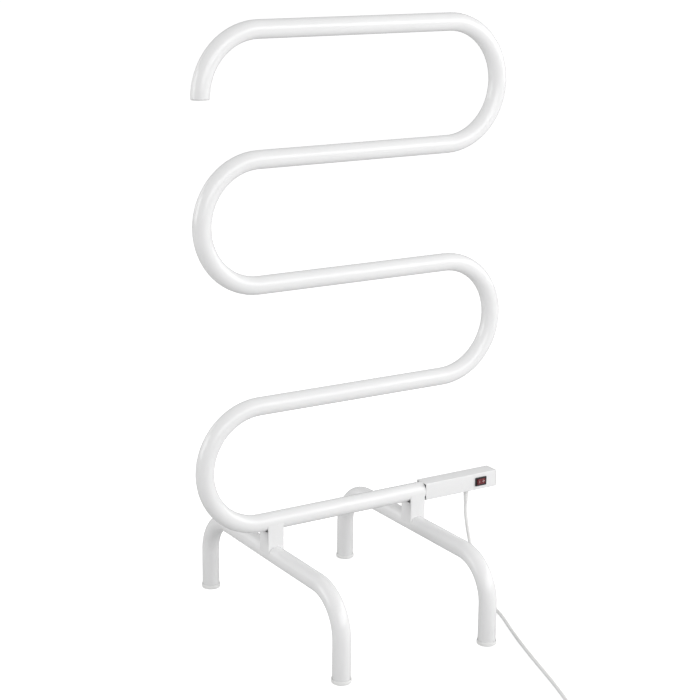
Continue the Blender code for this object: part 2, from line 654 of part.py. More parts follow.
# ---- rocker switch -----------------------------------------------------------
def switch_body(material):
    """Snap-in switch body: bezel outside the housing, box and well inside it."""
    middle = LOWEST_BAR_HEIGHT
    wide, high = SWITCH_BEZEL[0] / 2, SWITCH_BEZEL[1] / 2
    bm = bmesh.new()
    add_box(bm, (SWITCH_X - wide, BEZEL_FACE_Y, middle - high),
            (SWITCH_X + wide, -HOUSING_HALF - GAP, middle + high))
    bevel_edges_along(bm, 1, 0.0012, 2)
    made = add_object("switch_body", bm, material)
    bm = bmesh.new()
    wide, high = SWITCH_BODY[0] / 2, SWITCH_BODY[1] / 2
    add_box(bm, (SWITCH_X - wide, -HOUSING_HALF - GAP - SWITCH_BEZEL_THICKNESS / 2, middle - high),
            (SWITCH_X + wide, -HOUSING_HALF + SWITCH_BODY_DEPTH, middle + high))
    box = cutter("add_switch_box", bm)
    step = made.modifiers.new("box", "BOOLEAN")
    step.operation = "UNION"
    step.solver = "EXACT"
    step.object = box
    bm = bmesh.new()
    wide, high = SWITCH_WELL[0] / 2, SWITCH_WELL[1] / 2
    add_box(bm, (SWITCH_X - wide, BEZEL_FACE_Y - 0.01, middle - high),
            (SWITCH_X + wide, BEZEL_FACE_Y + SWITCH_WELL_DEPTH, middle + high))
    cut(made, cutter("cut_switch_well", bm))
    bm = bmesh.new()
    length = PIN_LENGTH / 2 + GAP
    rod(bm, (SWITCH_X, PIVOT_Y, middle - length), (SWITCH_X, PIVOT_Y, middle + length),
        PIN_DIAMETER / 2 + PIN_BORE_CLEARANCE, 8)
    cut(made, cutter("cut_switch_pin", bm))


def rocker_outline():
    """Rocker section about its pivot: a shallow valley in front, round ends, flat back."""
    reach = ROCKER_RADIUS
    rise = math.tan(ROCKER_TILT)
    # the front face meets the round end where x^2 + (crest + x * rise)^2 = reach^2
    a, b, c = 1.0 + rise ** 2, 2.0 * ROCKER_CREST * rise, ROCKER_CREST ** 2 - reach ** 2
    front_x = (-b + math.sqrt(b * b - 4 * a * c)) / (2 * a)
    front = math.atan2(-(ROCKER_CREST + front_x * rise), front_x)
    back = math.asin(ROCKER_BACK / reach)
    turns = [front + (back - front) * step / 4 for step in range(5)]
    arc = [(reach * math.cos(turn), reach * math.sin(turn)) for turn in turns]
    return [(0.0, -ROCKER_CREST)] + arc + [(-x, y) for x, y in reversed(arc)]


def switch_rocker(material):
    """Lit rocker on its own pivot, resting with its right half pressed in."""
    half = SWITCH_WELL[1] / 2 - ROCKER_CLEARANCE
    bm = bmesh.new()
    low = [bm.verts.new((x, y, -half)) for x, y in rocker_outline()]
    high = [bm.verts.new((x, y, half)) for x, y in rocker_outline()]
    join_rings(bm, low, high)
    bm.faces.new(list(reversed(low)))
    bm.faces.new(high)
    made = add_object("switch_rocker", bm, material)
    made.location = (SWITCH_X, PIVOT_Y, LOWEST_BAR_HEIGHT)
    made.rotation_euler = (0.0, 0.0, ROCKER_TILT)
    bm = bmesh.new()
    rod(bm, (SWITCH_X, PIVOT_Y, LOWEST_BAR_HEIGHT - 2 * half),
        (SWITCH_X, PIVOT_Y, LOWEST_BAR_HEIGHT + 2 * half), PIN_DIAMETER / 2 + PIN_BORE_CLEARANCE, 8)
    cut(made, cutter("cut_rocker_bore", bm))


def rocker_pin(material):
    bm = bmesh.new()
    rod(bm, (SWITCH_X, PIVOT_Y, LOWEST_BAR_HEIGHT - PIN_LENGTH / 2),
        (SWITCH_X, PIVOT_Y, LOWEST_BAR_HEIGHT + PIN_LENGTH / 2), PIN_DIAMETER / 2, 8)
    add_object("rocker_pin", bm, material)


def blade_x(index):
    return SWITCH_X + (index - 1) * BLADE_PITCH


def switch_blades(material):
    """Three tab terminals on the back of the switch."""
    start = -HOUSING_HALF + SWITCH_BODY_DEPTH + GAP
    for index in range(3):
        x = blade_x(index)
        bm = bmesh.new()
        add_box(bm, (x - BLADE[0] / 2, start, LOWEST_BAR_HEIGHT - BLADE[2] / 2),
                (x + BLADE[0] / 2, start + BLADE[1], LOWEST_BAR_HEIGHT + BLADE[2] / 2))
        add_object("switch_blade_%d" % (index + 1), bm, material, smooth=False)


# ---- wiring inside the housing -----------------------------------------------
def wiring(live, neutral, earth, sleeve):
    """Cores from the lead to the switch, the cut-out, the element and the tag."""
    middle = LOWEST_BAR_HEIGHT
    blade_end = -HOUSING_HALF + SWITCH_BODY_DEPTH + GAP + BLADE[1] + GAP
    lift = middle + 0.0070
    core_top = middle - HOUSING_HALF + HOUSING_WALL + BOOT_FLANGE_THICKNESS + 3 * GAP
    cut_x = HOUSING_LEFT_X + 0.052
    element_x = ELEMENT_START_X + GAP
    bm = bmesh.new()
    length, depth, height = CUTOUT_SIZE
    add_box(bm, (cut_x, -depth / 2, lift - height / 2), (cut_x + length, depth / 2, lift + height / 2))
    bevel_edges_along(bm, 0, 0.0012, 2)
    add_object("thermal_cutout", bm, sleeve)
    tag_y = HOUSING_HALF - HOUSING_WALL - GAP - EARTH_TAG_THICKNESS - GAP / 3
    fan = 0.0019                   # cores apart where they leave the boot
    rise = 0.0020
    wires = (
        ("live_core", live, [(CORD_EXIT_X + fan, 0.0, core_top), (CORD_EXIT_X + fan, 0.0, core_top + rise),
                             (CORD_EXIT_X + 0.006, 0.0030, middle - 0.0045),
                             (blade_x(0) - 0.001, 0.0060, middle - 0.0050),
                             (blade_x(1) - 0.002, 0.0082, middle - 0.0025),
                             (blade_x(1), 0.0078, middle - 0.0004), (blade_x(1), blade_end, middle)]),
        ("neutral_core", neutral, [(CORD_EXIT_X - fan, -fan, core_top),
                                   (CORD_EXIT_X - fan, -fan, core_top + rise),
                                   (CORD_EXIT_X - 0.006, -0.0032, middle - 0.0052),
                                   (CORD_EXIT_X - 0.020, -0.0042, middle - 0.0060),
                                   (element_x + 0.016, -0.0036, middle - 0.0040),
                                   (element_x + 0.006, -0.0016, middle - 0.0016),
                                   (element_x, -0.0012, middle - 0.0012)]),
        ("switched_core", live, [(blade_x(0), blade_end, middle), (blade_x(0), blade_end + 0.0030, middle),
                                 (blade_x(0) - 0.006, 0.0078, middle + 0.0040),
                                 (cut_x + length + 0.012, 0.0020, lift), (cut_x + length + 0.004, 0.0, lift),
                                 (cut_x + length + GAP, 0.0, lift)]),
        ("element_lead", sleeve, [(cut_x - GAP, 0.0, lift), (cut_x - 0.006, 0.0003, lift - 0.0004),
                                  (element_x + 0.014, 0.0018, middle + 0.0040),
                                  (element_x + 0.005, 0.0016, middle + 0.0014),
                                  (element_x, 0.0012, middle + 0.0012)]),
        ("earth_core", earth, [(CORD_EXIT_X - fan, fan, core_top), (CORD_EXIT_X - fan, fan, core_top + rise),
                               (CORD_EXIT_X - 0.006, 0.0038, middle - 0.0050),
                               (CORD_EXIT_X - 0.016, tag_y - 0.0028, middle - 0.0036),
                               (EARTH_X + 0.018, tag_y - 0.0005, middle - 0.0008),
                               (EARTH_X + 0.013, tag_y, middle),
                               (EARTH_X + EARTH_TAG_TAIL + GAP, tag_y, middle)]),
    )
    for name, material, points in wires:
        cable(name, smooth_route(points, 2.5 * WIRE_DIAMETER), WIRE_DIAMETER, material, resolution=0)


# ---- mains lead --------------------------------------------------------------
def strain_relief(material):
    """Tapered boot, flanged inside the housing; the lead leaves its tip."""
    bm = bmesh.new()
    inside = HOUSING_WALL + GAP
    top = BOOT_TOP_DIAMETER / 2
    tip = BOOT_TIP_DIAMETER / 2
    flange = BOOT_FLANGE_DIAMETER / 2
    profile = [(0.0, -BOOT_LENGTH), (tip - 0.0005, -BOOT_LENGTH), (tip, -BOOT_LENGTH + 0.0005),
               (top, -GAP), (top, inside), (flange, inside),
               (flange, inside + BOOT_FLANGE_THICKNESS), (0.0, inside + BOOT_FLANGE_THICKNESS)]
    turned(bm, profile, Matrix.Translation((CORD_EXIT_X, 0.0, HOUSING_FLOOR)), SMALL_SIDES)
    add_object("strain_relief", bm, material)


def coil_section():
    half_width = COIL_TURNS_WIDE * CORD_DIAMETER / 2
    return COIL_MEAN_RADIUS - half_width, COIL_MEAN_RADIUS + half_width, COIL_TURNS_HIGH * CORD_DIAMETER


def cord_coil(material):
    """Outer shape of the put-away turns: a turned ring on the floor."""
    inner, outer, height = coil_section()
    low, high = COIL_LIFT, COIL_LIFT + height
    edge = CORD_RADIUS * 0.6
    profile = [(inner, low + edge), (inner + edge, low), (outer - edge, low), (outer, low + edge),
               (outer, high - edge), (outer - edge, high), (inner + edge, high), (inner, high - edge)]
    bm = bmesh.new()
    turned(bm, profile, Matrix.Translation((*COIL_CENTRE, 0.0)), 32)
    add_object("cord_coil", bm, material)


def coil_tie(material):
    """Soft strap round the turns."""
    inner, outer, height = coil_section()
    inner -= 2 * GAP
    outer += 2 * GAP
    low, high = COIL_LIFT - 2 * GAP, COIL_LIFT + height + 2 * GAP
    thick = TIE_THICKNESS
    hole = ((inner, low), (outer, low), (outer, high), (inner, high))
    skin = ((inner - thick, GAP), (outer + thick, GAP),
            (outer + thick, high + thick), (inner - thick, high + thick))
    bm = bmesh.new()
    inside, outside = [], []
    for side in (-TIE_WIDTH / 2, TIE_WIDTH / 2):
        inside.append([bm.verts.new((reach, side, z)) for reach, z in hole])
        outside.append([bm.verts.new((reach, side, z)) for reach, z in skin])
    join_rings(bm, inside[0], inside[1])
    join_rings(bm, outside[0], outside[1])
    join_rings(bm, inside[0], outside[0])
    join_rings(bm, inside[1], outside[1])
    place = Matrix.Translation((*COIL_CENTRE, 0.0)) @ Matrix.Rotation(TIE_ANGLE, 4, "Z")
    bmesh.ops.transform(bm, matrix=place, verts=bm.verts)
    add_object("coil_tie", bm, material, smooth=False)


def plug_frame():
    """Frame of the plug: X along its pins, origin at the start of its body."""
    side = Vector((math.cos(PLUG_SIDE), math.sin(PLUG_SIDE), 0.0))
    centre = Vector((*COIL_CENTRE, PLUG_HEIGHT / 2 + GAP)) + side * PLUG_OFFSET
    heading = Matrix.Rotation(PLUG_SIDE - math.pi / 2, 4, "Z")
    return Matrix.Translation(centre) @ heading @ Matrix.Translation((-PLUG_LENGTH / 2, 0.0, 0.0))


def plug_body(material):
    """Moulded plug, narrow at the cord end, with a grip waist."""
    bm = bmesh.new()
    stations = ((-PLUG_NECK_LENGTH, PLUG_NECK_DIAMETER * 0.42, PLUG_NECK_DIAMETER * 0.42),
                (-0.001, PLUG_NECK_DIAMETER / 2, PLUG_NECK_DIAMETER / 2),
                (0.004, PLUG_WIDTH * 0.36, PLUG_HEIGHT * 0.36),
                (0.014, PLUG_WIDTH * 0.41, PLUG_HEIGHT * 0.40),
                (0.024, PLUG_WIDTH * 0.49, PLUG_HEIGHT * 0.485),
                (PLUG_LENGTH - 0.001, PLUG_WIDTH / 2, PLUG_HEIGHT / 2),
                (PLUG_LENGTH, PLUG_WIDTH / 2 - 0.001, PLUG_HEIGHT / 2 - 0.001))
    rings = []
    for x, wide, high in stations:
        ring = []
        for step in range(TUBE_SIDES):
            turn = 2 * math.pi * step / TUBE_SIDES
            y = math.copysign(wide * abs(math.cos(turn)) ** 0.6, math.cos(turn))
            z = math.copysign(high * abs(math.sin(turn)) ** 0.6, math.sin(turn))
            ring.append(bm.verts.new((x, y, z)))
        rings.append(ring)
    for first, second in zip(rings, rings[1:]):
        join_rings(bm, first, second)
    bm.faces.new(rings[0])
    bm.faces.new(list(reversed(rings[-1])))
    bmesh.ops.transform(bm, matrix=plug_frame(), verts=bm.verts)
    add_object("plug_body", bm, material)


def plug_pins(material):
    place = plug_frame()
    start = PLUG_LENGTH + GAP
    length, thick, wide = PIN_BLADE
    for name, side in (("plug_pin_live", 1.0), ("plug_pin_neutral", -1.0)):
        y = side * PIN_BLADE_SPACING / 2
        bm = bmesh.new()
        add_box(bm, (start, y - thick / 2, PIN_BLADE_LIFT - wide / 2),
                (start + length, y + thick / 2, PIN_BLADE_LIFT + wide / 2))
        bmesh.ops.transform(bm, matrix=place, verts=bm.verts)
        add_object(name, bm, material, smooth=False)
    bm = bmesh.new()
    rod(bm, (start, 0, -PIN_EARTH_DROP), (start + PIN_EARTH_LENGTH, 0, -PIN_EARTH_DROP),
        PIN_EARTH_DIAMETER / 2, SMALL_SIDES)
    bmesh.ops.transform(bm, matrix=place, verts=bm.verts)
    add_object("plug_pin_earth", bm, material)


def mains_lead(material):
    """The lead's free run, and the tail between the coil and the plug."""
    cable("power_cord", smooth_route(CORD_POINTS, 2.5 * CORD_DIAMETER), CORD_DIAMETER, material)
    cable("power_cord_tail", smooth_route(TAIL_POINTS, 1.8 * CORD_DIAMETER), CORD_DIAMETER, material)


# ---- the whole rack ----------------------------------------------------------
def build():
    clear_scene()
    finish("cutter", (0.5, 0.5, 0.5), 0.5)
    white_paint = finish("white_paint", (0.80, 0.80, 0.80), 0.32)
    white_plastic = finish("white_plastic", (0.82, 0.82, 0.81), 0.42)
    dark_nylon = finish("dark_nylon", (0.03, 0.03, 0.032), 0.55)
    plated_steel = finish("plated_steel", (0.62, 0.62, 0.63), 0.34, 1.0)
    black_plastic = finish("black_plastic", (0.012, 0.012, 0.013), 0.38)
    red_lens = finish("red_lens", (0.30, 0.010, 0.014), 0.24)
    brass = finish("brass", (0.78, 0.60, 0.30), 0.30, 1.0)
    silicone = finish("silicone", (0.55, 0.54, 0.50), 0.60)
    cord_pvc = finish("cord_pvc", (0.80, 0.80, 0.79), 0.48)
    brown_core = finish("brown_core", (0.16, 0.07, 0.035), 0.50)
    blue_core = finish("blue_core", (0.05, 0.16, 0.45), 0.50)
    green_core = finish("green_core", (0.16, 0.42, 0.10), 0.50)
    strap = finish("strap", (0.75, 0.75, 0.74), 0.80)

    heating_rail(white_paint)
    rail_end_plug(white_plastic)
    heating_element(silicone)
    half = LEG_SPREAD / 2
    for side, x in (("left", LEFT_LEG_X), ("right", RIGHT_LEG_X)):
        leg(side + "_leg", x, white_paint)
        for end, y in (("front", -half), ("back", half)):
            foot_cap("%s_%s_foot" % (end, side), x, y, white_plastic)
        post(side + "_post", x, white_paint)
        nut_plate(side + "_nut_plate", x, plated_steel)
        saddle_washer(side + "_saddle_washer", x, plated_steel)
        seat = SADDLE_BOTTOM - GAP
        screw(side + "_leg_screw", (x, 0, NUT_PLATE_BOTTOM + NUT_PLATE_THICKNESS + 0.003), (x, 0, seat),
              LEG_SCREW_DIAMETER, LEG_SCREW_HEAD_DIAMETER, LEG_SCREW_HEAD_HEIGHT, plated_steel)
    control_housing(white_paint)
    housing_end_cap(white_plastic)
    rail_bush(dark_nylon)
    housing_screws(plated_steel)
    earth_tag(brass)
    switch_body(black_plastic)
    switch_rocker(red_lens)
    rocker_pin(plated_steel)
    switch_blades(brass)
    wiring(brown_core, blue_core, green_core, silicone)
    strain_relief(white_plastic)
    mains_lead(cord_pvc)
    cord_coil(cord_pvc)
    coil_tie(strap)
    plug_body(white_plastic)
    plug_pins(brass)


build()
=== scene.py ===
import bmesh
import bpy
import json
import math
from mathutils import Matrix, Vector


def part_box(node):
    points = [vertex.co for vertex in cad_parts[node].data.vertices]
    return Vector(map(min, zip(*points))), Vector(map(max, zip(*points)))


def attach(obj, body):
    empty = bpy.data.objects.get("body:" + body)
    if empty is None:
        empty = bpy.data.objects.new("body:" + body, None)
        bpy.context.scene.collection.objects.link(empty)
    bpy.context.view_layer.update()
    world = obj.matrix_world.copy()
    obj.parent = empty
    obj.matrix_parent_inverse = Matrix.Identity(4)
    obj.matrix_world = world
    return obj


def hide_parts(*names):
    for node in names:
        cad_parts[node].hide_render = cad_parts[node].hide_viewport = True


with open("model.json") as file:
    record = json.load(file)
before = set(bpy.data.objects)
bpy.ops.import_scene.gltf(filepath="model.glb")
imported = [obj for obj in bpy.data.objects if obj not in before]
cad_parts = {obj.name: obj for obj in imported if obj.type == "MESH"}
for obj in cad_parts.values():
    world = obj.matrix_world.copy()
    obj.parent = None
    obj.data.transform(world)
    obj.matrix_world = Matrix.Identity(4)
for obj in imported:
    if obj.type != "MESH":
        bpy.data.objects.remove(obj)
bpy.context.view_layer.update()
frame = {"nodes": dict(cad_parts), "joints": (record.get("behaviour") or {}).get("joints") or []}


# ---- Camera and studio -------------------------------------------------------
# The camera stands to the front left of the rack, level with its top, on a long
# lens.  A pale floor, a white surround and six soft boxes light the rack.
camera = bpy.data.objects.new("studio_camera", bpy.data.cameras.new("studio_camera"))
bpy.context.scene.collection.objects.link(camera)
camera_place = (-1.2243, -1.9267, 1.0040)
camera_turn, camera_tip, camera_roll = -0.5360, -0.2510, 0.0030
camera.matrix_world = (
    Matrix.Translation(camera_place)
    @ Matrix.Rotation(camera_turn, 4, "Z")
    @ Matrix.Rotation(math.pi / 2 + camera_tip, 4, "X")
    @ Matrix.Rotation(camera_roll, 4, "Z")
)
camera.data.sensor_width = 36.0
camera.data.lens = 86.16
camera.data.shift_x = 0.0644
camera.data.shift_y = -0.0215
bpy.context.scene.camera = camera
bpy.context.scene.view_settings.view_transform = "Standard"


rack_middle = Vector((0.0, 0.0, 0.42))
box_distance, box_width = 3.0, 1.5


def soft_box(name, side, lift, watts):
    """A square area light that faces the rack; side and lift are degrees from its front."""
    lamp = bpy.data.lights.new(name, "AREA")
    lamp.size = box_width
    lamp.energy = watts
    box = bpy.data.objects.new(name, lamp)
    bpy.context.scene.collection.objects.link(box)
    turn, rise = math.radians(side), math.radians(lift)
    out = Vector((math.sin(turn) * math.cos(rise), -math.cos(turn) * math.cos(rise), math.sin(rise)))
    box.location = rack_middle + box_distance * out
    box.rotation_mode = "QUATERNION"
    box.rotation_quaternion = out.to_track_quat("Z", "Y")


soft_box("front_left_box", -15, 20, 16)
soft_box("front_box", 15, 20, 17)
soft_box("front_right_box", 45, 20, 17)
soft_box("right_box", 75, 15, 15)
soft_box("left_box", -110, 15, 21)
soft_box("back_box", -150, 15, 6)

surround = bpy.data.worlds.new("white_surround")
bpy.context.scene.world = surround
surround.use_nodes = True
wiring = surround.node_tree
seen = wiring.nodes["Background"]
seen.inputs["Color"].default_value = (1.0, 1.0, 1.0, 1.0)
seen.inputs["Strength"].default_value = 1.05
ambient = wiring.nodes.new("ShaderNodeBackground")
ambient.inputs["Color"].default_value = (1.0, 1.0, 1.0, 1.0)
ambient.inputs["Strength"].default_value = 0.53
either = wiring.nodes.new("ShaderNodeMixShader")
rays = wiring.nodes.new("ShaderNodeLightPath")
wiring.links.new(rays.outputs["Is Camera Ray"], either.inputs[0])
wiring.links.new(ambient.outputs[0], either.inputs[1])
wiring.links.new(seen.outputs[0], either.inputs[2])
wiring.links.new(either.outputs[0], wiring.nodes["World Output"].inputs["Surface"])

bpy.ops.object.select_all(action="DESELECT")
bpy.ops.mesh.primitive_grid_add(x_subdivisions=8, y_subdivisions=8, size=60.0,
                                location=(0.0, 0.0, -0.0002))
floor = bpy.context.object
floor.name = "pale_floor"
pale = bpy.data.materials.new("pale_floor")
pale.use_nodes = True
wiring = pale.node_tree
matt = wiring.nodes["Principled BSDF"]
matt.inputs["Base Color"].default_value = (0.62, 0.62, 0.62, 1.0)
matt.inputs["Roughness"].default_value = 0.9
matt.inputs["Specular IOR Level"].default_value = 0.1
matt.inputs["Emission Color"].default_value = (1.0, 1.0, 1.0, 1.0)
rays = wiring.nodes.new("ShaderNodeLightPath")
glow = wiring.nodes.new("ShaderNodeMath")
glow.operation = "MULTIPLY"
glow.inputs[1].default_value = 0.72
wiring.links.new(rays.outputs["Is Camera Ray"], glow.inputs[0])
wiring.links.new(glow.outputs[0], matt.inputs["Emission Strength"])
floor.data.materials.append(pale)


# ---- Mains lead --------------------------------------------------------------
# One white PVC-sheathed lead with three cores.  It hangs from its boot under the
# housing, meets the floor, runs forward, and the rest is wound into a tied coil.
class Level:
    """A number inside a finish, on which sums are written as sums."""

    def __init__(self, finish, socket):
        self.finish, self.socket = finish, socket

    def sum(self, operation, *terms):
        return self.finish.node("Math", {"operation": operation}, dict(enumerate(terms)))

    def __add__(self, other):
        return self.sum("ADD", self, other)

    def __mul__(self, other):
        return self.sum("MULTIPLY", self, other)

    def __gt__(self, other):
        return self.sum("GREATER_THAN", self, other)

    __radd__ = __add__
    __rmul__ = __mul__


class Finish:
    """One material: a shader, and the nodes that give its surface detail."""

    def __init__(self, name, **shader_values):
        self.material = bpy.data.materials.new(name)
        self.material.use_nodes = True
        self.tree = self.material.node_tree
        self.shader = self.tree.nodes["Principled BSDF"]
        self.place = self.node("TexCoord", output="Object")
        constants = {socket.replace("_", " "): value for socket, value in shader_values.items()}
        self.feed(self.shader, constants)

    def feed(self, node, feeds):
        for socket, value in feeds.items():
            if isinstance(value, Level):
                self.tree.links.new(value.socket, node.inputs[socket])
            else:
                node.inputs[socket].default_value = value

    def node(self, kind, settings={}, feeds={}, output=0):
        made = self.tree.nodes.new("ShaderNode" + kind)
        for setting, value in settings.items():
            setattr(made, setting, value)
        self.feed(made, feeds)
        return Level(self, made.outputs[output])

    def noise(self, scale, detail, place=None):
        feeds = {"Vector": place or self.place, "Scale": scale, "Detail": detail}
        return self.node("TexNoise", feeds=feeds)

    def stretched(self, factors):
        """Object coordinates stretched, for a grain that runs one way."""
        return self.node("Mapping", feeds={"Vector": self.place, "Scale": factors})

    def tint(self, factor, first, second):
        """A colour between two, by the factor."""
        colours = {0: factor, 6: (*first, 1.0), 7: (*second, 1.0)}
        return self.node("Mix", {"data_type": "RGBA"}, colours, output=2)

    def wear(self, colour, roughness, height, depth, strength=1.0):
        """Feed what changes over the surface."""
        relief = self.node("Bump", feeds={"Height": height, "Distance": depth, "Strength": strength})
        self.feed(self.shader, {"Base Color": colour, "Roughness": roughness, "Normal": relief})
        return self


def lead_sheath(name, light, dark):
    """Extruded soft PVC: faint lengthwise drag lines, scuffs and a waxy surface."""
    made = Finish(name, Roughness=0.42, Specular_IOR_Level=0.42)
    mottle = made.noise(90.0, 4.0)
    scuff = made.noise(420.0, 6.0) * made.noise(38.0, 2.0)
    return made.wear(
        colour=made.tint(mottle, light, dark),
        roughness=0.34 + 0.22 * mottle + 0.25 * scuff,
        height=made.noise(1900.0, 3.0) + 0.6 * mottle,
        depth=0.00006,
    )


white_sheath = lead_sheath("white_pvc_sheath", (0.86, 0.86, 0.855), (0.80, 0.80, 0.79))
lead_diameter = 0.0052
boot_low, boot_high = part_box("strain_relief")
lead_exit = Vector(((boot_low.x + boot_high.x) / 2, 0.0, boot_low.z))
joint_gap = 0.0003
on_floor = lead_diameter / 2 + joint_gap
hanging_run = [
    (0.2030, 0.0000, lead_exit.z - joint_gap), (0.2030, 0.0000, 0.1220), (0.2030, -0.0030, 0.1060),
    (0.2034, -0.0085, 0.0850), (0.2036, -0.0172, 0.0630), (0.2030, -0.0300, 0.0420),
    (0.2010, -0.0460, 0.0240), (0.1972, -0.0650, 0.0110), (0.1920, -0.0850, 0.0046),
    (0.1858, -0.1035, on_floor), (0.1788, -0.1270, on_floor), (0.1708, -0.1485, on_floor),
    (0.1620, -0.1705, on_floor), (0.1510, -0.2000, on_floor), (0.1400, -0.2310, on_floor),
    (0.1290, -0.2640, on_floor), (0.1175, -0.3000, on_floor), (0.1045, -0.3400, on_floor),
    (0.0912, -0.3775, on_floor), (0.0775, -0.4120, on_floor), (0.0705, -0.4310, 0.0031),
    (0.0637, -0.4491, 0.0036),
]
plug_run = [
    (0.0603, -0.4572, 0.0095), (0.0629, -0.4672, 0.0088), (0.0655, -0.4771, 0.0066),
    (0.0686, -0.4890, 0.0042), (0.0688, -0.5020, 0.0031), (0.0632, -0.5136, 0.0037),
    (0.0529, -0.5214, 0.0060), (0.0430, -0.5243, 0.0088), (0.0335, -0.5233, 0.0103),
    (0.0280, -0.5201, 0.0103),
]
coil_centre = Vector((0.0235, -0.4560, 0.0))
bottom_layer, top_layer = 0.0042, 0.0094
widest_turn = 0.0353
coil_turns = 5.9025
coil_entry = math.radians(-20.48)
# in turns: the steps inward below and outward above, and the climb between the layers,
# round which the lead dips toward the middle so that it clears its neighbours
step_overs, step_run = ((0.70, -1), (1.70, -1), (3.88, 1), (4.88, 1)), 0.30
climb_start, climb_run = 2.80, 0.26
dip_start, dip_run, dip_depth = 2.58, 0.72, 0.0049


def eased(amount):
    """Zero before 0, one after 1, and a smooth rise between."""
    amount = min(max(amount, 0.0), 1.0)
    return amount * amount * (3.0 - 2.0 * amount)


def coil_point(turns):
    """Where the lead lies after so many turns of the coil, wound clockwise."""
    radius = widest_turn
    for start, side in step_overs:
        radius += side * lead_diameter * eased((turns - start) / step_run)
    if dip_start < turns < dip_start + dip_run:
        radius -= dip_depth * math.sin(math.pi * (turns - dip_start) / dip_run) ** 2
    height = bottom_layer + (top_layer - bottom_layer) * eased((turns - climb_start) / climb_run)
    angle = coil_entry - 2.0 * math.pi * turns
    return coil_centre + Vector((radius * math.cos(angle), radius * math.sin(angle), height))


coil_steps = 130
wound_run = [coil_point(coil_turns * step / coil_steps) for step in range(coil_steps + 1)]
lead_route = [Vector(point) for point in hanging_run] + wound_run + [Vector(point) for point in plug_run]
lead_line = bpy.data.curves.new("mains_lead", "CURVE")
lead_line.dimensions = "3D"
lead_line.bevel_depth = lead_diameter / 2
lead_line.bevel_resolution = 4
lead_line.use_fill_caps = True
lead_line.resolution_u = 5
strand = lead_line.splines.new("BEZIER")
strand.bezier_points.add(len(lead_route) - 1)
for knot, point in zip(strand.bezier_points, lead_route):
    knot.co = point
    knot.handle_left_type = knot.handle_right_type = "AUTO"
lead_line.materials.append(white_sheath.material)
mains_lead = bpy.data.objects.new("mains_lead", lead_line)
bpy.context.scene.collection.objects.link(mains_lead)
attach(mains_lead, "rack")
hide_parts("power_cord", "power_cord_tail", "cord_coil")


# ---- Heated rail -------------------------------------------------------------
# One length of 1 in steel tube, bent into five bars on a mandrel and powder
# coated.  A silicone heating cable lies in its bore, out of sight.
def powder_coat(name, light, dark):
    """Satin white powder coat: orange peel, a fine grain and a little handling sheen."""
    made = Finish(name, Roughness=0.2, Specular_IOR_Level=0.5, Coat_Weight=0.3, Coat_Roughness=0.08)
    cloud = made.noise(9.0, 3.0)
    peel = made.noise(620.0, 1.0)
    grit = made.noise(2600.0, 2.0)
    return made.wear(
        colour=made.tint(cloud, light, dark),
        roughness=0.16 + 0.10 * cloud + 0.08 * grit,
        height=peel + 0.25 * grit,
        depth=0.00005,
        strength=0.6,
    )


def open_piece(add, name, **size_and_place):
    """Add one primitive with nothing else selected, and open it for editing."""
    if bpy.context.object and bpy.context.object.mode == "EDIT":
        bpy.ops.object.mode_set(mode="OBJECT")
    bpy.ops.object.select_all(action="DESELECT")
    add(**size_and_place)
    piece = bpy.context.object
    piece.name = piece.data.name = name
    bpy.ops.object.mode_set(mode="EDIT")
    return piece


def pick(kind, test):
    """Select the vertices, edges or faces of the open piece that pass a test."""
    bpy.ops.mesh.select_mode(type={"verts": "VERT", "edges": "EDGE", "faces": "FACE"}[kind])
    bpy.ops.mesh.select_all(action="DESELECT")
    shape = bmesh.from_edit_mesh(bpy.context.object.data)
    shape.normal_update()
    for part in getattr(shape, kind):
        if test(part):
            part.select_set(True)
    shape.select_flush_mode()
    bmesh.update_edit_mesh(bpy.context.object.data)


def push(x=0.0, y=0.0, z=0.0):
    """Extrude what is selected."""
    bpy.ops.mesh.extrude_region_move(TRANSFORM_OT_translate={"value": (x, y, z)})


def apply_modifier(piece, kind, **settings):
    """Add one modifier to a closed piece and apply it."""
    bpy.context.view_layer.objects.active = piece
    step = piece.modifiers.new(kind.lower(), kind)
    for setting, value in settings.items():
        setattr(step, setting, value)
    bpy.ops.object.modifier_apply(modifier=step.name)


def close_piece(piece):
    """Leave edit mode with the piece's place in its mesh."""
    if piece.mode == "EDIT":
        bpy.ops.object.mode_set(mode="OBJECT")
    bpy.ops.object.select_all(action="DESELECT")
    piece.select_set(True)
    bpy.context.view_layer.objects.active = piece
    bpy.ops.object.transform_apply(location=True, rotation=True, scale=True)


def fit(piece, finish, slot, *stands_for, body="rack", smooth=35):
    """Put the finish on a piece and fix it to the body that it moves with."""
    close_piece(piece)
    bpy.ops.object.shade_smooth_by_angle(angle=math.radians(smooth))
    piece.data.materials.clear()
    piece.data.materials.append(finish.material)
    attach(piece, body)
    if stands_for:
        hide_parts(*stands_for)
    return piece


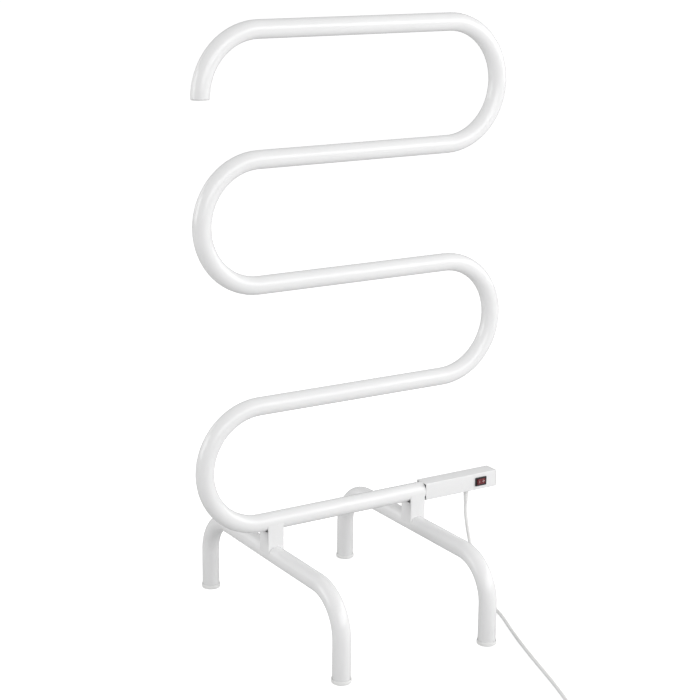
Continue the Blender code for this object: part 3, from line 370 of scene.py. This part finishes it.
def bent_tube(name, start, axis_turn, radius, wall, steps, outward):
    """A tube of one wall thickness from a ring that is pushed and spun along."""
    tube = open_piece(bpy.ops.mesh.primitive_circle_add, name, vertices=48, radius=radius,
                      location=start, rotation=axis_turn)
    for kind, value in steps:
        if kind == "straight":
            push(*value)
        else:
            turns, angle, centre, axis = value
            bpy.ops.mesh.spin(steps=turns, angle=angle, center=centre, axis=axis)
    bpy.ops.mesh.select_all(action="SELECT")
    bpy.ops.mesh.remove_doubles(threshold=0.00001)
    bpy.ops.mesh.normals_make_consistent(inside=False)
    close_piece(tube)
    probe = max(tube.data.polygons, key=lambda face: face.center.dot(outward))
    if probe.normal.dot(outward) < 0:
        tube.data.flip_normals()
    apply_modifier(tube, "SOLIDIFY", thickness=wall, offset=-1.0)
    bpy.ops.object.mode_set(mode="EDIT")
    pick("edges", lambda edge: edge.calc_face_angle(0.0) > 1.0)
    bpy.ops.mesh.bevel(offset=0.0003, segments=2, affect="EDGES")
    bpy.ops.object.mode_set(mode="OBJECT")
    return tube


satin_powder = powder_coat("satin_white_powder", (0.87, 0.87, 0.872), (0.84, 0.84, 0.842))
housing_low, housing_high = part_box("control_housing")
rail_low, rail_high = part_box("heating_rail")
tube_radius = (rail_high.y - rail_low.y) / 2
tube_wall = 0.0015
top_bar = rail_high.z - tube_radius
lowest_bar = rail_low.z + tube_radius
bar_pitch = (top_bar - lowest_bar) / 4
bend_radius = bar_pitch / 2
bend_x = rail_high.x - tube_radius - bend_radius
rail_start = Vector((housing_low.x - joint_gap, 0.0, lowest_bar))
rail_tail = 0.0006
rail_steps = [("straight", (-bend_x - rail_start.x, 0.0, 0.0))]
for bend in range(4):
    side = -1.0 if bend % 2 == 0 else 1.0
    centre = (side * bend_x, 0.0, lowest_bar + (bend + 0.5) * bar_pitch)
    rail_steps.append(("bend", (32, side * math.pi, centre, (0.0, 1.0, 0.0))))
    if bend < 3:
        rail_steps.append(("straight", (-side * 2 * bend_x, 0.0, 0.0)))
rail_steps.append(("straight", (-2 * bend_x, 0.0, 0.0)))
rail_steps.append(("bend", (18, math.pi / 2, (-bend_x, 0.0, top_bar - bend_radius), (0.0, 1.0, 0.0))))
rail_steps.append(("straight", (0.0, 0.0, -rail_tail)))
heated_rail = bent_tube("heated_rail", rail_start, (0.0, math.pi / 2, 0.0), tube_radius, tube_wall,
                        rail_steps, Vector((0.0, 0.0, 1.0)))
fit(heated_rail, satin_powder, "white_paint", "heating_rail")


# ---- Rail end plug -----------------------------------------------------------
# A white polythene plug pressed into the cut top end of the rail, with a thin
# flange against the tube's edge and a shallow dish in its face.
def moulding(name, light, dark, roughness=0.40):
    """Injection moulding with a fine spark-eroded skin and faint flow marks."""
    made = Finish(name, Roughness=roughness, Specular_IOR_Level=0.45)
    flow = made.noise(60.0, 3.0)
    skin = made.noise(4200.0, 3.0)
    return made.wear(
        colour=made.tint(flow, light, dark),
        roughness=roughness - 0.06 + 0.14 * flow + 0.08 * skin,
        height=skin + 0.5 * flow,
        depth=0.00003,
    )


def turn_up(name, profile, place, vertices=48):
    """A closed turned piece: a disc that is pushed and resized along its axis."""
    (radius, height), *later = profile
    piece = open_piece(bpy.ops.mesh.primitive_circle_add, name, vertices=vertices, radius=radius,
                       fill_type="NGON", location=(0.0, 0.0, height))
    for next_radius, next_height in later:
        push(z=next_height - height)
        if next_radius != radius:
            share = next_radius / radius
            bpy.ops.transform.resize(value=(share, share, 1.0), center_override=(0.0, 0.0, next_height))
        radius, height = next_radius, next_height
    bpy.ops.mesh.select_all(action="SELECT")
    bpy.ops.mesh.normals_make_consistent(inside=False)
    close_piece(piece)
    piece.data.transform(place)
    return piece


white_moulding = moulding("white_polythene", (0.88, 0.88, 0.875), (0.84, 0.84, 0.83))
end_low, end_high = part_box("rail_end_plug")
flange = (end_high.y - end_low.y) / 2
spigot = tube_radius - tube_wall - joint_gap
rail_end = turn_up(
    "rail_end_cap",
    [(0.0070, 0.0004), (0.0074, 0.0001), (0.0080, 0.0), (flange - 0.0005, 0.0), (flange - 0.0001, 0.0002),
     (flange, 0.0005), (flange, 0.0011), (flange - 0.0001, 0.0012), (spigot, 0.0012), (spigot, 0.0033),
     (spigot - 0.0006, 0.0037)],
    Matrix.Translation(((end_low.x + end_high.x) / 2, 0.0, end_low.z)),
)
fit(rail_end, white_moulding, "white_plastic", "rail_end_plug")


# ---- Legs --------------------------------------------------------------------
# Two arches of the same 1 in tube, each bent twice through a right angle, powder
# coated like the rail and held up against its post by one screw from below.
leg_bend = 0.0613
for hand in ("left", "right"):
    leg_low, leg_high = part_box(hand + "_leg")
    leg_x = (leg_low.x + leg_high.x) / 2
    crown = leg_high.z - tube_radius
    reach = leg_high.y - tube_radius
    leg_steps = [
        ("straight", (0.0, 0.0, crown - leg_bend - leg_low.z)),
        ("bend", (20, math.pi / 2, (leg_x, leg_bend - reach, crown - leg_bend), (1.0, 0.0, 0.0))),
        ("straight", (0.0, 2 * (reach - leg_bend), 0.0)),
        ("bend", (20, math.pi / 2, (leg_x, reach - leg_bend, crown - leg_bend), (1.0, 0.0, 0.0))),
        ("straight", (0.0, 0.0, leg_low.z + leg_bend - crown)),
    ]
    leg_tube = bent_tube(hand + "_leg_tube", (leg_x, -reach, leg_low.z), (0.0, 0.0, 0.0), tube_radius,
                         tube_wall, leg_steps, Vector((0.0, 0.0, 1.0)))
    fit(leg_tube, satin_powder, "white_paint", hand + "_leg")


# ---- Foot caps ---------------------------------------------------------------
# White polythene cups pushed over the four tube ends, with a rounded sole.
foot_low, foot_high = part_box("front_left_foot")
foot_outer = (foot_high.x - foot_low.x) / 2
foot_inner = tube_radius + joint_gap
foot_height = foot_high.z - foot_low.z
sole = 0.0025
foot_cap = turn_up(
    "foot_cap",
    [(0.0095, 0.0003), (0.0098, 0.0), (foot_outer - 0.0012, 0.0), (foot_outer - 0.0006, 0.00016),
     (foot_outer - 0.00016, 0.0006), (foot_outer, 0.0012), (foot_outer, foot_height - 0.0003),
     (foot_outer - 0.0002, foot_height - 0.00005), (foot_outer - 0.0005, foot_height),
     (foot_inner + 0.0002, foot_height), (foot_inner, foot_height - 0.0003), (foot_inner, sole)],
    Matrix(),
)
for node in ("front_left_foot", "front_right_foot", "back_left_foot", "back_right_foot"):
    low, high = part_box(node)
    cap = foot_cap.copy()
    cap.data = foot_cap.data.copy()
    cap.name = cap.data.name = node + "_cap"
    bpy.context.scene.collection.objects.link(cap)
    cap.data.transform(Matrix.Translation(((low.x + high.x) / 2, (low.y + high.y) / 2, 0.0)))
    fit(cap, white_moulding, "white_plastic", node)
bpy.data.objects.remove(foot_cap)


# ---- Posts -------------------------------------------------------------------
# Short square tubes welded to the underside of the rail.  Front and back walls
# run up as tabs that feather into the rail, the side walls stop under it, and
# the lower end is notched to sit over the leg.
def open_box(name, low, high):
    """A box from corner to corner, open for editing."""
    box = open_piece(bpy.ops.mesh.primitive_cube_add, name, size=1.0,
                     location=(Vector(low) + Vector(high)) / 2, scale=Vector(high) - Vector(low))
    close_piece(box)
    bpy.ops.object.mode_set(mode="EDIT")
    return box


def along(axis):
    """A test for edges that run along one axis."""
    def test(edge):
        run = edge.verts[1].co - edge.verts[0].co
        return abs(run[axis]) > 0.99 * run.length
    return test


def facing(x=0.0, y=0.0, z=0.0):
    """A test for faces that look one way."""
    way = Vector((x, y, z))
    return lambda face: face.normal.dot(way) > 0.99


def square_tube(name, low, high, axis, corner, wall):
    """An open-ended square tube with rounded corners and an even wall."""
    tube = open_box(name, low, high)
    pick("faces", lambda face: abs(face.normal[axis]) > 0.99)
    bpy.ops.mesh.delete(type="FACE")
    close_piece(tube)
    apply_modifier(tube, "SOLIDIFY", thickness=wall, offset=-1.0, use_even_offset=True)
    bpy.ops.object.mode_set(mode="EDIT")
    middle = (Vector(low) + Vector(high)) / 2
    half_side = min(Vector(high) - Vector(low)) / 2

    def corner_distance(edge):
        out = (edge.verts[0].co + edge.verts[1].co) / 2 - middle
        out[axis] = 0.0
        return out.length

    split = (half_side - wall / 2) * math.sqrt(2.0)
    pick("edges", lambda edge: along(axis)(edge) and corner_distance(edge) > split)
    bpy.ops.mesh.bevel(offset=corner, segments=6, affect="EDGES")
    pick("edges", lambda edge: along(axis)(edge) and corner_distance(edge) < split - 0.0003
         and edge.calc_face_angle(0.0) > 1.0)
    bpy.ops.mesh.bevel(offset=0.0004, segments=3, affect="EDGES")
    close_piece(tube)
    return tube


def box_tool(low, high):
    """A closed box to carve with."""
    tool = open_box("cutting_box", low, high)
    close_piece(tool)
    return tool


def rod_tool(start, end, radius, vertices=96):
    """A closed rod to carve with."""
    run = Vector(end) - Vector(start)
    tool = open_piece(bpy.ops.mesh.primitive_cylinder_add, "cutting_rod", vertices=vertices, radius=radius,
                      depth=run.length, location=(Vector(start) + Vector(end)) / 2,
                      rotation=run.to_track_quat("Z", "Y").to_euler())
    close_piece(tool)
    return tool


def carve(piece, tool):
    """Cut the tool's shape out of a piece, and drop the tool."""
    apply_modifier(piece, "BOOLEAN", operation="DIFFERENCE", solver="EXACT", object=tool)
    bpy.data.objects.remove(tool)


post_wall = 0.0015
slit_width, slit_length = 0.0011, 0.0140
weld_bite = 0.0001
past = 0.03
for hand in ("left", "right"):
    post_low, post_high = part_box(hand + "_post")
    post_x = (post_low.x + post_high.x) / 2
    half = (post_high.x - post_low.x) / 2
    hollow = half - post_wall
    shoulder = lowest_bar - tube_radius - joint_gap
    post = square_tube(hand + "_post_tube", (post_low.x, post_low.y, crown + 0.0020),
                       (post_high.x, post_high.y, lowest_bar - 0.0020), 2, 0.0014, post_wall)
    carve(post, rod_tool((post_x, -past, crown), (post_x, past, crown), tube_radius + 0.0001))
    carve(post, rod_tool((post_x - past, 0.0, lowest_bar), (post_x + past, 0.0, lowest_bar),
                         tube_radius - weld_bite))
    notch = open_box("shoulder_tool", (post_x - past, -hollow, shoulder),
                     (post_x + past, hollow, shoulder + past))
    for side in (-1.0, 1.0):
        bpy.ops.mesh.select_all(action="SELECT")
        bpy.ops.mesh.bisect(plane_co=(0.0, side * (hollow - slit_width), 0.0), plane_no=(0.0, 1.0, 0.0))
    pick("faces", lambda face: face.normal.z < -0.99
         and abs(face.calc_center_median().y) > hollow - slit_width)
    push(z=-slit_length)
    for side in (-1.0, 1.0):
        pick("verts", lambda vertex: vertex.co.z < shoulder - 0.5 * slit_length
             and 0.0 < side * vertex.co.y < hollow - 0.5 * slit_width)
        bpy.ops.transform.translate(value=(0.0, side * 0.85 * slit_width, 0.0))
    close_piece(notch)
    carve(post, notch)
    fit(post, satin_powder, "white_paint", hand + "_post", smooth=25)


# ---- Screws, saddles and nut plates ------------------------------------------
# Zinc-plated steel: a pan-head screw with a cross recess goes up through each
# leg into a plate in the post, and smaller ones hold the bush, cap and earth.
def zinc_plate(name, light, dark):
    """Bright zinc plating over turned or pressed steel, slightly clouded."""
    made = Finish(name, Metallic=1.0)
    cloud = made.noise(240.0, 4.0)
    brush = made.noise(500.0, 2.0, made.stretched((1.0, 1.0, 14.0)))
    return made.wear(
        colour=made.tint(cloud, light, dark),
        roughness=0.26 + 0.16 * cloud + 0.10 * brush,
        height=brush + 0.3 * cloud,
        depth=0.00002,
    )


bright_zinc = zinc_plate("bright_zinc_plate", (0.66, 0.67, 0.69), (0.56, 0.57, 0.58))
head_down, head_back = (0.0, 0.0, -1.0), (0.0, 1.0, 0.0)
six_mm, three_mm = (0.0030, 0.0033), (0.0015, 0.0016)
screws = (
    ("left_leg_screw", head_down, six_mm), ("right_leg_screw", head_down, six_mm),
    ("rail_lock_screw", head_down, three_mm), ("bush_screw", head_down, three_mm),
    ("end_cap_screw", head_down, three_mm), ("earth_screw", head_back, three_mm),
)
for node, head_way, (shank, head_height) in screws:
    low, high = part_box(node)
    way = Vector(head_way)
    centre = (low + high) / 2
    crown_radius = (high.x - low.x) / 2
    length = abs((high - low).dot(way)) - head_height
    seat = centre + way * ((length + head_height) / 2 - head_height)
    place = Matrix.Translation(seat) @ way.to_track_quat("Z", "Y").to_matrix().to_4x4()
    screw = turn_up(
        node + "_pan_head",
        [(0.6 * shank, -length), (shank, -length + 0.5 * shank), (shank, 0.0), (crown_radius, 0.0),
         (crown_radius, 0.30 * head_height), (0.97 * crown_radius, 0.50 * head_height),
         (0.88 * crown_radius, 0.74 * head_height), (0.72 * crown_radius, 0.90 * head_height),
         (0.48 * crown_radius, head_height)],
        place, vertices=32,
    )
    for turn in (0.0, math.pi / 2):
        arm, slot_width = 0.50 * crown_radius, 0.11 * crown_radius
        recess = box_tool((-arm, -slot_width, 0.35 * head_height), (arm, slot_width, 1.2 * head_height))
        recess.data.transform(place @ Matrix.Rotation(turn + 0.5, 4, "Z"))
        carve(screw, recess)
    fit(screw, bright_zinc, "plated_steel", node)


def refinish(finish, *names):
    """Give CAD nodes whose shape is right their real surface."""
    for name in names:
        frame["nodes"][name].data.materials.clear()
        frame["nodes"][name].data.materials.append(finish.material)


refinish(bright_zinc, "left_nut_plate", "right_nut_plate", "left_saddle_washer", "right_saddle_washer")


# ---- Control housing ---------------------------------------------------------
# A length of square tube, powder coated, that carries the switch and the lead.
# It is screwed to the bush in the end of the rail.
housing_corner, housing_wall = 0.0012, 0.0015
housing = square_tube("switch_housing", housing_low, housing_high, 0, housing_corner, housing_wall)
bezel_low, bezel_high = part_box("switch_body")
switch_x = (bezel_low.x + bezel_high.x) / 2
cutout_wide, cutout_high, lead_hole = 0.0093, 0.0059, 0.0043
carve(housing, box_tool((switch_x - cutout_wide, -0.02, lowest_bar - cutout_high),
                        (switch_x + cutout_wide, 0.0, lowest_bar + cutout_high)))
carve(housing, rod_tool((lead_exit.x, 0.0, lowest_bar - 0.02), (lead_exit.x, 0.0, lowest_bar),
                        lead_hole, 48))
fit(housing, satin_powder, "white_paint", "control_housing", smooth=25)


# ---- Housing end cap and rail bush -------------------------------------------
# The cap is a white push-in moulding whose face covers the tube's end.  The dark
# glass-filled nylon bush joins the rail to the housing and insulates the wires.
cap_low, cap_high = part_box("housing_end_cap")
face_x = cap_high.x - 0.0018
end_cap = open_box("housing_cap", (face_x, cap_low.y, cap_low.z), cap_high)
pick("faces", facing(x=-1.0))
bpy.ops.mesh.inset(thickness=0.0019)
push(x=cap_low.x - face_x)
pick("edges", lambda edge: along(0)(edge) and min(vertex.co.x for vertex in edge.verts) > face_x - 0.0001)
bpy.ops.mesh.bevel(offset=housing_corner, segments=5, affect="EDGES")
pick("edges", lambda edge: min(vertex.co.x for vertex in edge.verts) > cap_high.x - 0.0001)
bpy.ops.mesh.bevel(offset=0.0006, segments=4, affect="EDGES")
fit(end_cap, white_moulding, "white_plastic", "housing_end_cap", smooth=40)
dark_nylon = moulding("glass_filled_nylon", (0.030, 0.030, 0.032), (0.016, 0.016, 0.017), roughness=0.52)
refinish(dark_nylon, "rail_bush")


# ---- Rocker switch -----------------------------------------------------------
# A snap-in black switch with a frame outside the housing and a red lit rocker on
# a steel pin.  The rocker's right half is pressed in.
black_moulding = moulding("black_polycarbonate", (0.014, 0.014, 0.015), (0.026, 0.026, 0.027), roughness=0.34)
bezel_back = housing_low.y - joint_gap
well_depth = 0.0082
switch_frame = open_box("switch_frame", bezel_low, (bezel_high.x, bezel_back, bezel_high.z))
pick("faces", facing(y=1.0))
bpy.ops.mesh.inset(thickness=0.0010)
push(y=bezel_high.y - bezel_back)
pick("faces", facing(y=-1.0))
bpy.ops.mesh.inset(thickness=0.0020)
push(y=well_depth)
pick("edges", lambda edge: along(1)(edge) and abs(edge.verts[0].co.x - switch_x) > 0.0092)
bpy.ops.mesh.bevel(offset=0.0012, segments=5, affect="EDGES")
pick("edges", lambda edge: along(1)(edge) and edge.calc_face_angle(0.0) > 1.0)
bpy.ops.mesh.bevel(offset=0.0004, segments=3, affect="EDGES")
pick("edges", lambda edge: max(vertex.co.y for vertex in edge.verts) < bezel_low.y + 0.00001
     and edge.calc_face_angle(0.0) > 0.5)
bpy.ops.mesh.bevel(offset=0.0003, segments=3, affect="EDGES")
fit(switch_frame, black_moulding, "black_plastic", "switch_body", smooth=30)

red_lens = Finish("red_rocker_lens", Roughness=0.16, Specular_IOR_Level=0.5, Coat_Weight=0.4,
                  Coat_Roughness=0.08)
streak = red_lens.noise(160.0, 2.0)
red_lens.wear(
    colour=red_lens.tint(streak, (0.165, 0.008, 0.014), (0.10, 0.005, 0.009)),
    roughness=0.14 + 0.12 * streak,
    height=red_lens.noise(900.0, 2.0),
    depth=0.00002,
)
rocker_reach, rocker_half = 0.0077, 0.0043
rocker_tilt = math.radians(8.0)
rocker_crest, rocker_back = 0.0020, 0.0030
rocker_axis = Vector(frame["joints"][0]["pos_m"])
face_slope = math.tan(rocker_tilt)
# where a sloping half of the face leaves the round back
spread = (rocker_crest * face_slope) ** 2 - (1 + face_slope ** 2) * (rocker_crest ** 2 - rocker_reach ** 2)
front_x = (-rocker_crest * face_slope + math.sqrt(spread)) / (1 + face_slope ** 2)
front_y = -(rocker_crest + front_x * face_slope)
rocker = open_piece(bpy.ops.mesh.primitive_cylinder_add, "rocker_lens", vertices=96, radius=rocker_reach,
                    depth=2 * rocker_half, location=(0.0, 0.0, 0.0))
for plane_y, side in ((rocker_back, 1.0), (front_y, -1.0)):
    bpy.ops.mesh.select_all(action="SELECT")
    bpy.ops.mesh.bisect(plane_co=(0.0, plane_y, 0.0), plane_no=(0.0, side, 0.0), use_fill=True,
                        clear_outer=True)
bpy.ops.mesh.select_all(action="SELECT")
bpy.ops.mesh.bisect(plane_co=(0.0, 0.0, 0.0), plane_no=(1.0, 0.0, 0.0))
pick("verts", lambda vertex: abs(vertex.co.x) < 0.0001 and vertex.co.y < front_y + 0.0001)
bpy.ops.transform.translate(value=(0.0, -rocker_crest - front_y, 0.0))
pick("edges", lambda edge: edge.calc_face_angle(0.0) > 0.9)
bpy.ops.mesh.bevel(offset=0.0003, segments=3, affect="EDGES")
close_piece(rocker)
rocker_place = Matrix.Translation(rocker_axis) @ Matrix.Rotation(rocker_tilt, 4, "Z")
rocker.data.transform(rocker_place)
half_rod, pin_bore = Vector((0.0, 0.0, 0.01)), 0.0010
carve(rocker, rod_tool(rocker_axis - half_rod, rocker_axis + half_rod, pin_bore, 24))
fit(rocker, red_lens, "red_lens", "switch_rocker", body="rocker", smooth=30)

pale_ink = moulding("pale_switch_marks", (0.80, 0.72, 0.70), (0.72, 0.62, 0.60), roughness=0.35)
for name, mark_x in (("rocker_on_bar", -0.0040), ("rocker_off_ring", 0.0040)):
    mark_y = -rocker_crest - abs(mark_x) * face_slope
    if mark_x < 0:
        mark = open_box(name, (-0.00022, -0.00004, -0.0015), (0.00022, 0.00006, 0.0015))
        pick("edges", along(1))
        bpy.ops.mesh.bevel(offset=0.0002, segments=4, affect="EDGES")
    else:
        mark = open_piece(bpy.ops.mesh.primitive_torus_add, name, major_radius=0.00125, minor_radius=0.00022,
                          major_segments=40, minor_segments=8, rotation=(math.pi / 2, 0.0, 0.0))
        bpy.ops.transform.resize(value=(1.0, 0.3, 1.0), center_override=(0.0, 0.0, 0.0))
    close_piece(mark)
    slope = Matrix.Rotation(math.copysign(rocker_tilt, -mark_x), 4, "Z")
    mark.data.transform(rocker_place @ Matrix.Translation((mark_x, mark_y, 0.0)) @ slope)
    fit(mark, pale_ink, "red_lens", body="rocker")

bright_brass = zinc_plate("bright_brass", (0.80, 0.60, 0.28), (0.68, 0.49, 0.22))
refinish(bright_zinc, "rocker_pin")
refinish(bright_brass, "switch_blade_1", "switch_blade_2", "switch_blade_3", "earth_tag")


# ---- Heating cable, cut-out and wires ----------------------------------------
# Inside the tubes: a silicone-sheathed heating cable, its sleeved thermal cut-out
# and PVC-insulated cores, brown for live, blue for neutral, green and yellow earth.
def insulation(name, light, dark, roughness=0.45):
    """Smooth extruded cable insulation."""
    made = Finish(name, Roughness=roughness)
    mottle = made.noise(700.0, 3.0)
    return made.wear(
        colour=made.tint(mottle, light, dark),
        roughness=roughness - 0.05 + 0.15 * mottle,
        height=made.noise(3500.0, 2.0),
        depth=0.00002,
    )


silicone_rubber = insulation("silicone_rubber", (0.58, 0.57, 0.53), (0.50, 0.49, 0.45), 0.58)
refinish(silicone_rubber, "heating_element", "element_lead", "thermal_cutout")
brown_pvc = insulation("brown_insulation", (0.17, 0.075, 0.036), (0.13, 0.055, 0.026))
refinish(brown_pvc, "live_core", "switched_core")
blue_pvc = insulation("blue_insulation", (0.05, 0.16, 0.45), (0.04, 0.12, 0.36))
refinish(blue_pvc, "neutral_core")
earth_stripe = Finish("green_yellow_insulation", Roughness=0.45)
band = earth_stripe.node("TexWave", {"bands_direction": "DIAGONAL"},
                         {"Vector": earth_stripe.place, "Scale": 95.0, "Distortion": 0.4}) > 0.62
earth_stripe.wear(
    colour=earth_stripe.tint(band, (0.10, 0.36, 0.09), (0.78, 0.66, 0.08)),
    roughness=0.42 + 0.10 * earth_stripe.noise(700.0, 3.0),
    height=earth_stripe.noise(3500.0, 2.0),
    depth=0.00002,
)
refinish(earth_stripe, "earth_core")


# ---- Strain relief boot ------------------------------------------------------
# A soft white moulded boot, flanged inside the housing, tapered and ringed below
# it so that the lead bends gently.
flange_radius = (boot_high.x - boot_low.x) / 2
boot_top, boot_tip = 0.0040, 0.0032
underside = housing_low.z
boot_length = underside - boot_low.z
collar_top, collar_foot, groove = 0.0018, -0.0016, 0.0005
boot_profile = [(flange_radius, boot_high.z - underside), (flange_radius, collar_top),
                (boot_top, collar_top), (boot_top, collar_foot)]
rings = 6
pitch = (boot_length - 0.0030) / rings
for ring in range(rings):
    start = collar_foot - ring * (boot_length - 0.0030) / rings
    radius = boot_top + (boot_tip - boot_top) * (ring + 0.5) / rings
    boot_profile += [(radius - groove, start - 0.0002), (radius - groove, start - 0.35 * pitch),
                     (radius, start - 0.35 * pitch - 0.0002), (radius - 0.00005, start - pitch + 0.0001)]
boot_profile += [(boot_tip - 0.0001, -boot_length + 0.0004), (boot_tip - 0.0005, -boot_length)]
boot = turn_up("lead_boot", boot_profile, Matrix.Translation((lead_exit.x, 0.0, underside)), vertices=40)
fit(boot, white_moulding, "white_plastic", "strain_relief", smooth=50)


# ---- Coil tie ----------------------------------------------------------------
# A woven hook-and-loop strap wrapped once round the put-away turns, with its end
# lapped over on top.
strap_weave = Finish("woven_strap", Roughness=0.8, Sheen_Weight=0.3)
thread = {"Vector": strap_weave.place, "Scale": 320.0, "Distortion": 0.6}
warp = strap_weave.node("TexWave", {"bands_direction": "X"}, thread)
weft = strap_weave.node("TexWave", {"bands_direction": "Y"}, thread)
strap_weave.wear(
    colour=strap_weave.tint(warp * weft, (0.60, 0.60, 0.59), (0.80, 0.80, 0.79)),
    roughness=0.75 + 0.15 * warp,
    height=warp * weft + 0.3 * strap_weave.noise(2500.0, 3.0),
    depth=0.00025,
)
tie_angle = math.radians(130.0)
turns_inside, turns_outside, turns_top = 0.0217, 0.0385, 0.0126
tie_middle = (turns_inside + turns_outside) / 2
strap = open_piece(bpy.ops.mesh.primitive_circle_add, "tie_strap", vertices=48, radius=1.0,
                   location=(tie_middle, 0.0, 0.0), rotation=(math.pi / 2, 0.0, 0.0))
close_piece(strap)
strap_bottom, boxiness = 0.0009, 0.45
half_wide, half_high = (turns_outside - turns_inside) / 2, (turns_top - strap_bottom) / 2
for vertex in strap.data.vertices:
    x, z = vertex.co.x - tie_middle, vertex.co.z
    vertex.co.x = tie_middle + math.copysign(abs(x) ** boxiness, x) * half_wide
    vertex.co.z = strap_bottom + half_high + math.copysign(abs(z) ** boxiness, z) * half_high
bpy.ops.object.mode_set(mode="EDIT")
bpy.ops.mesh.select_all(action="SELECT")
push(y=0.008)
bpy.ops.mesh.select_all(action="SELECT")
bpy.ops.transform.translate(value=(0.0, -0.004, 0.0))
bpy.ops.mesh.normals_make_consistent(inside=False)
close_piece(strap)
probe = max(strap.data.polygons, key=lambda face: face.center.z)
if probe.normal.z < 0:
    strap.data.flip_normals()
apply_modifier(strap, "SOLIDIFY", thickness=0.0008, offset=-1.0)
lap = open_box("strap_end", (tie_middle - 0.0055, -0.0038, turns_top),
               (tie_middle + 0.0050, 0.0038, turns_top + 0.0009))
pick("edges", lambda edge: edge.calc_face_angle(0.0) > 1.0)
bpy.ops.mesh.bevel(offset=0.0003, segments=2, affect="EDGES")
close_piece(lap)
strap.select_set(True)
bpy.context.view_layer.objects.active = strap
bpy.ops.object.join()
strap.data.transform(Matrix.Translation(coil_centre) @ Matrix.Rotation(tie_angle, 4, "Z"))
fit(strap, strap_weave, "strap", "coil_tie", smooth=40)


# ---- Mains plug --------------------------------------------------------------
# A moulded three-pin plug: a soft body with a ringed neck, two flat blades and a
# round earth pin.
plug_side = math.radians(-120.4)
plug_length, plug_wide, plug_high, neck_length = 0.0360, 0.0235, 0.0200, 0.0180
plug_from_coil = 0.053
plug_out = Vector((math.cos(plug_side), math.sin(plug_side), 0.0))
plug_middle = coil_centre + Vector((0.0, 0.0, plug_high / 2 + joint_gap)) + plug_from_coil * plug_out
plug_place = (
    Matrix.Translation(plug_middle)
    @ Matrix.Rotation(plug_side - math.pi / 2, 4, "Z")
    @ Matrix.Translation((-plug_length / 2, 0.0, 0.0))
)
plug = open_box("moulded_plug", (0.0240, -plug_wide / 2, -plug_high / 2),
                (plug_length, plug_wide / 2, plug_high / 2))
pick("faces", facing(x=-1.0))
narrowing = ((-0.0090, 0.80, 0.80), (-0.0070, 0.90, 0.90), (-0.0050, 0.62, 0.66), (-0.0030, 0.80, 0.86))
for step_x, share_y, share_z in narrowing:
    push(x=step_x)
    bpy.ops.transform.resize(value=(1.0, share_y, share_z), center_override=(0.0, 0.0, 0.0))
pick("edges", lambda edge: edge.calc_face_angle(0.0) > 0.3
     and min(vertex.co.x for vertex in edge.verts) <= plug_length - 0.0001)
bpy.ops.mesh.bevel(offset=0.0022, segments=2, affect="EDGES")
pick("edges", lambda edge: min(vertex.co.x for vertex in edge.verts) > plug_length - 0.0001)
bpy.ops.mesh.bevel(offset=0.0010, segments=2, affect="EDGES")
close_piece(plug)
apply_modifier(plug, "SUBSURF", levels=2, render_levels=2)
neck_root, neck_core = 0.0044, 0.0036
neck_profile = [(0.0040, 0.0050), (neck_root, 0.0020)]
for ring in range(6):
    back = -0.0005 - ring * 0.0027
    neck_profile += [(neck_root - ring * 0.00012, back), (neck_root - ring * 0.00012, back - 0.0014),
                     (neck_core, back - 0.0016), (neck_core, back - 0.0025)]
neck_profile += [(neck_core, -neck_length + 0.0004), (0.0033, -neck_length)]
turn_up("plug_neck", neck_profile, Matrix.Rotation(math.pi / 2, 4, "Y"), vertices=32)
plug.select_set(True)
bpy.context.view_layer.objects.active = plug
bpy.ops.object.join()
plug.data.transform(plug_place)
fit(plug, white_moulding, "white_plastic", "plug_body", smooth=40)
blade_thick, blade_low, blade_high, blade_out, blade_hole = 0.0015, -0.00065, 0.00565, 0.0173, 0.0016
for node, pin_y in (("plug_pin_live", 0.00635), ("plug_pin_neutral", -0.00635)):
    pin = open_box(node + "_blade", (plug_length - 0.0010, pin_y - blade_thick / 2, blade_low),
                   (plug_length + blade_out, pin_y + blade_thick / 2, blade_high))
    pick("edges", lambda edge: along(1)(edge) and edge.verts[0].co.x > plug_length + 0.01)
    bpy.ops.mesh.bevel(offset=0.0016, segments=4, affect="EDGES")
    pick("edges", lambda edge: edge.calc_face_angle(0.0) > 1.0
         and min(vertex.co.x for vertex in edge.verts) > plug_length)
    bpy.ops.mesh.bevel(offset=0.0002, segments=1, affect="EDGES")
    close_piece(pin)
    hole = Vector((plug_length + 0.0135, pin_y, 0.0025))
    across = Vector((0.0, 0.005, 0.0))
    carve(pin, rod_tool(hole - across, hole + across, blade_hole, 32))
    pin.data.transform(plug_place)
    fit(pin, bright_brass, "brass", node)
earth_place = plug_place @ Matrix.Translation((plug_length, 0.0, -0.0062))
earth_pin = turn_up(
    "plug_pin_earth_rod",
    [(0.0024, -0.0010), (0.0024, 0.0180), (0.0022, 0.0192), (0.0016, 0.0200), (0.0009, 0.0203)],
    earth_place @ Matrix.Rotation(math.pi / 2, 4, "Y"), vertices=32,
)
fit(earth_pin, bright_brass, "brass", "plug_pin_earth")
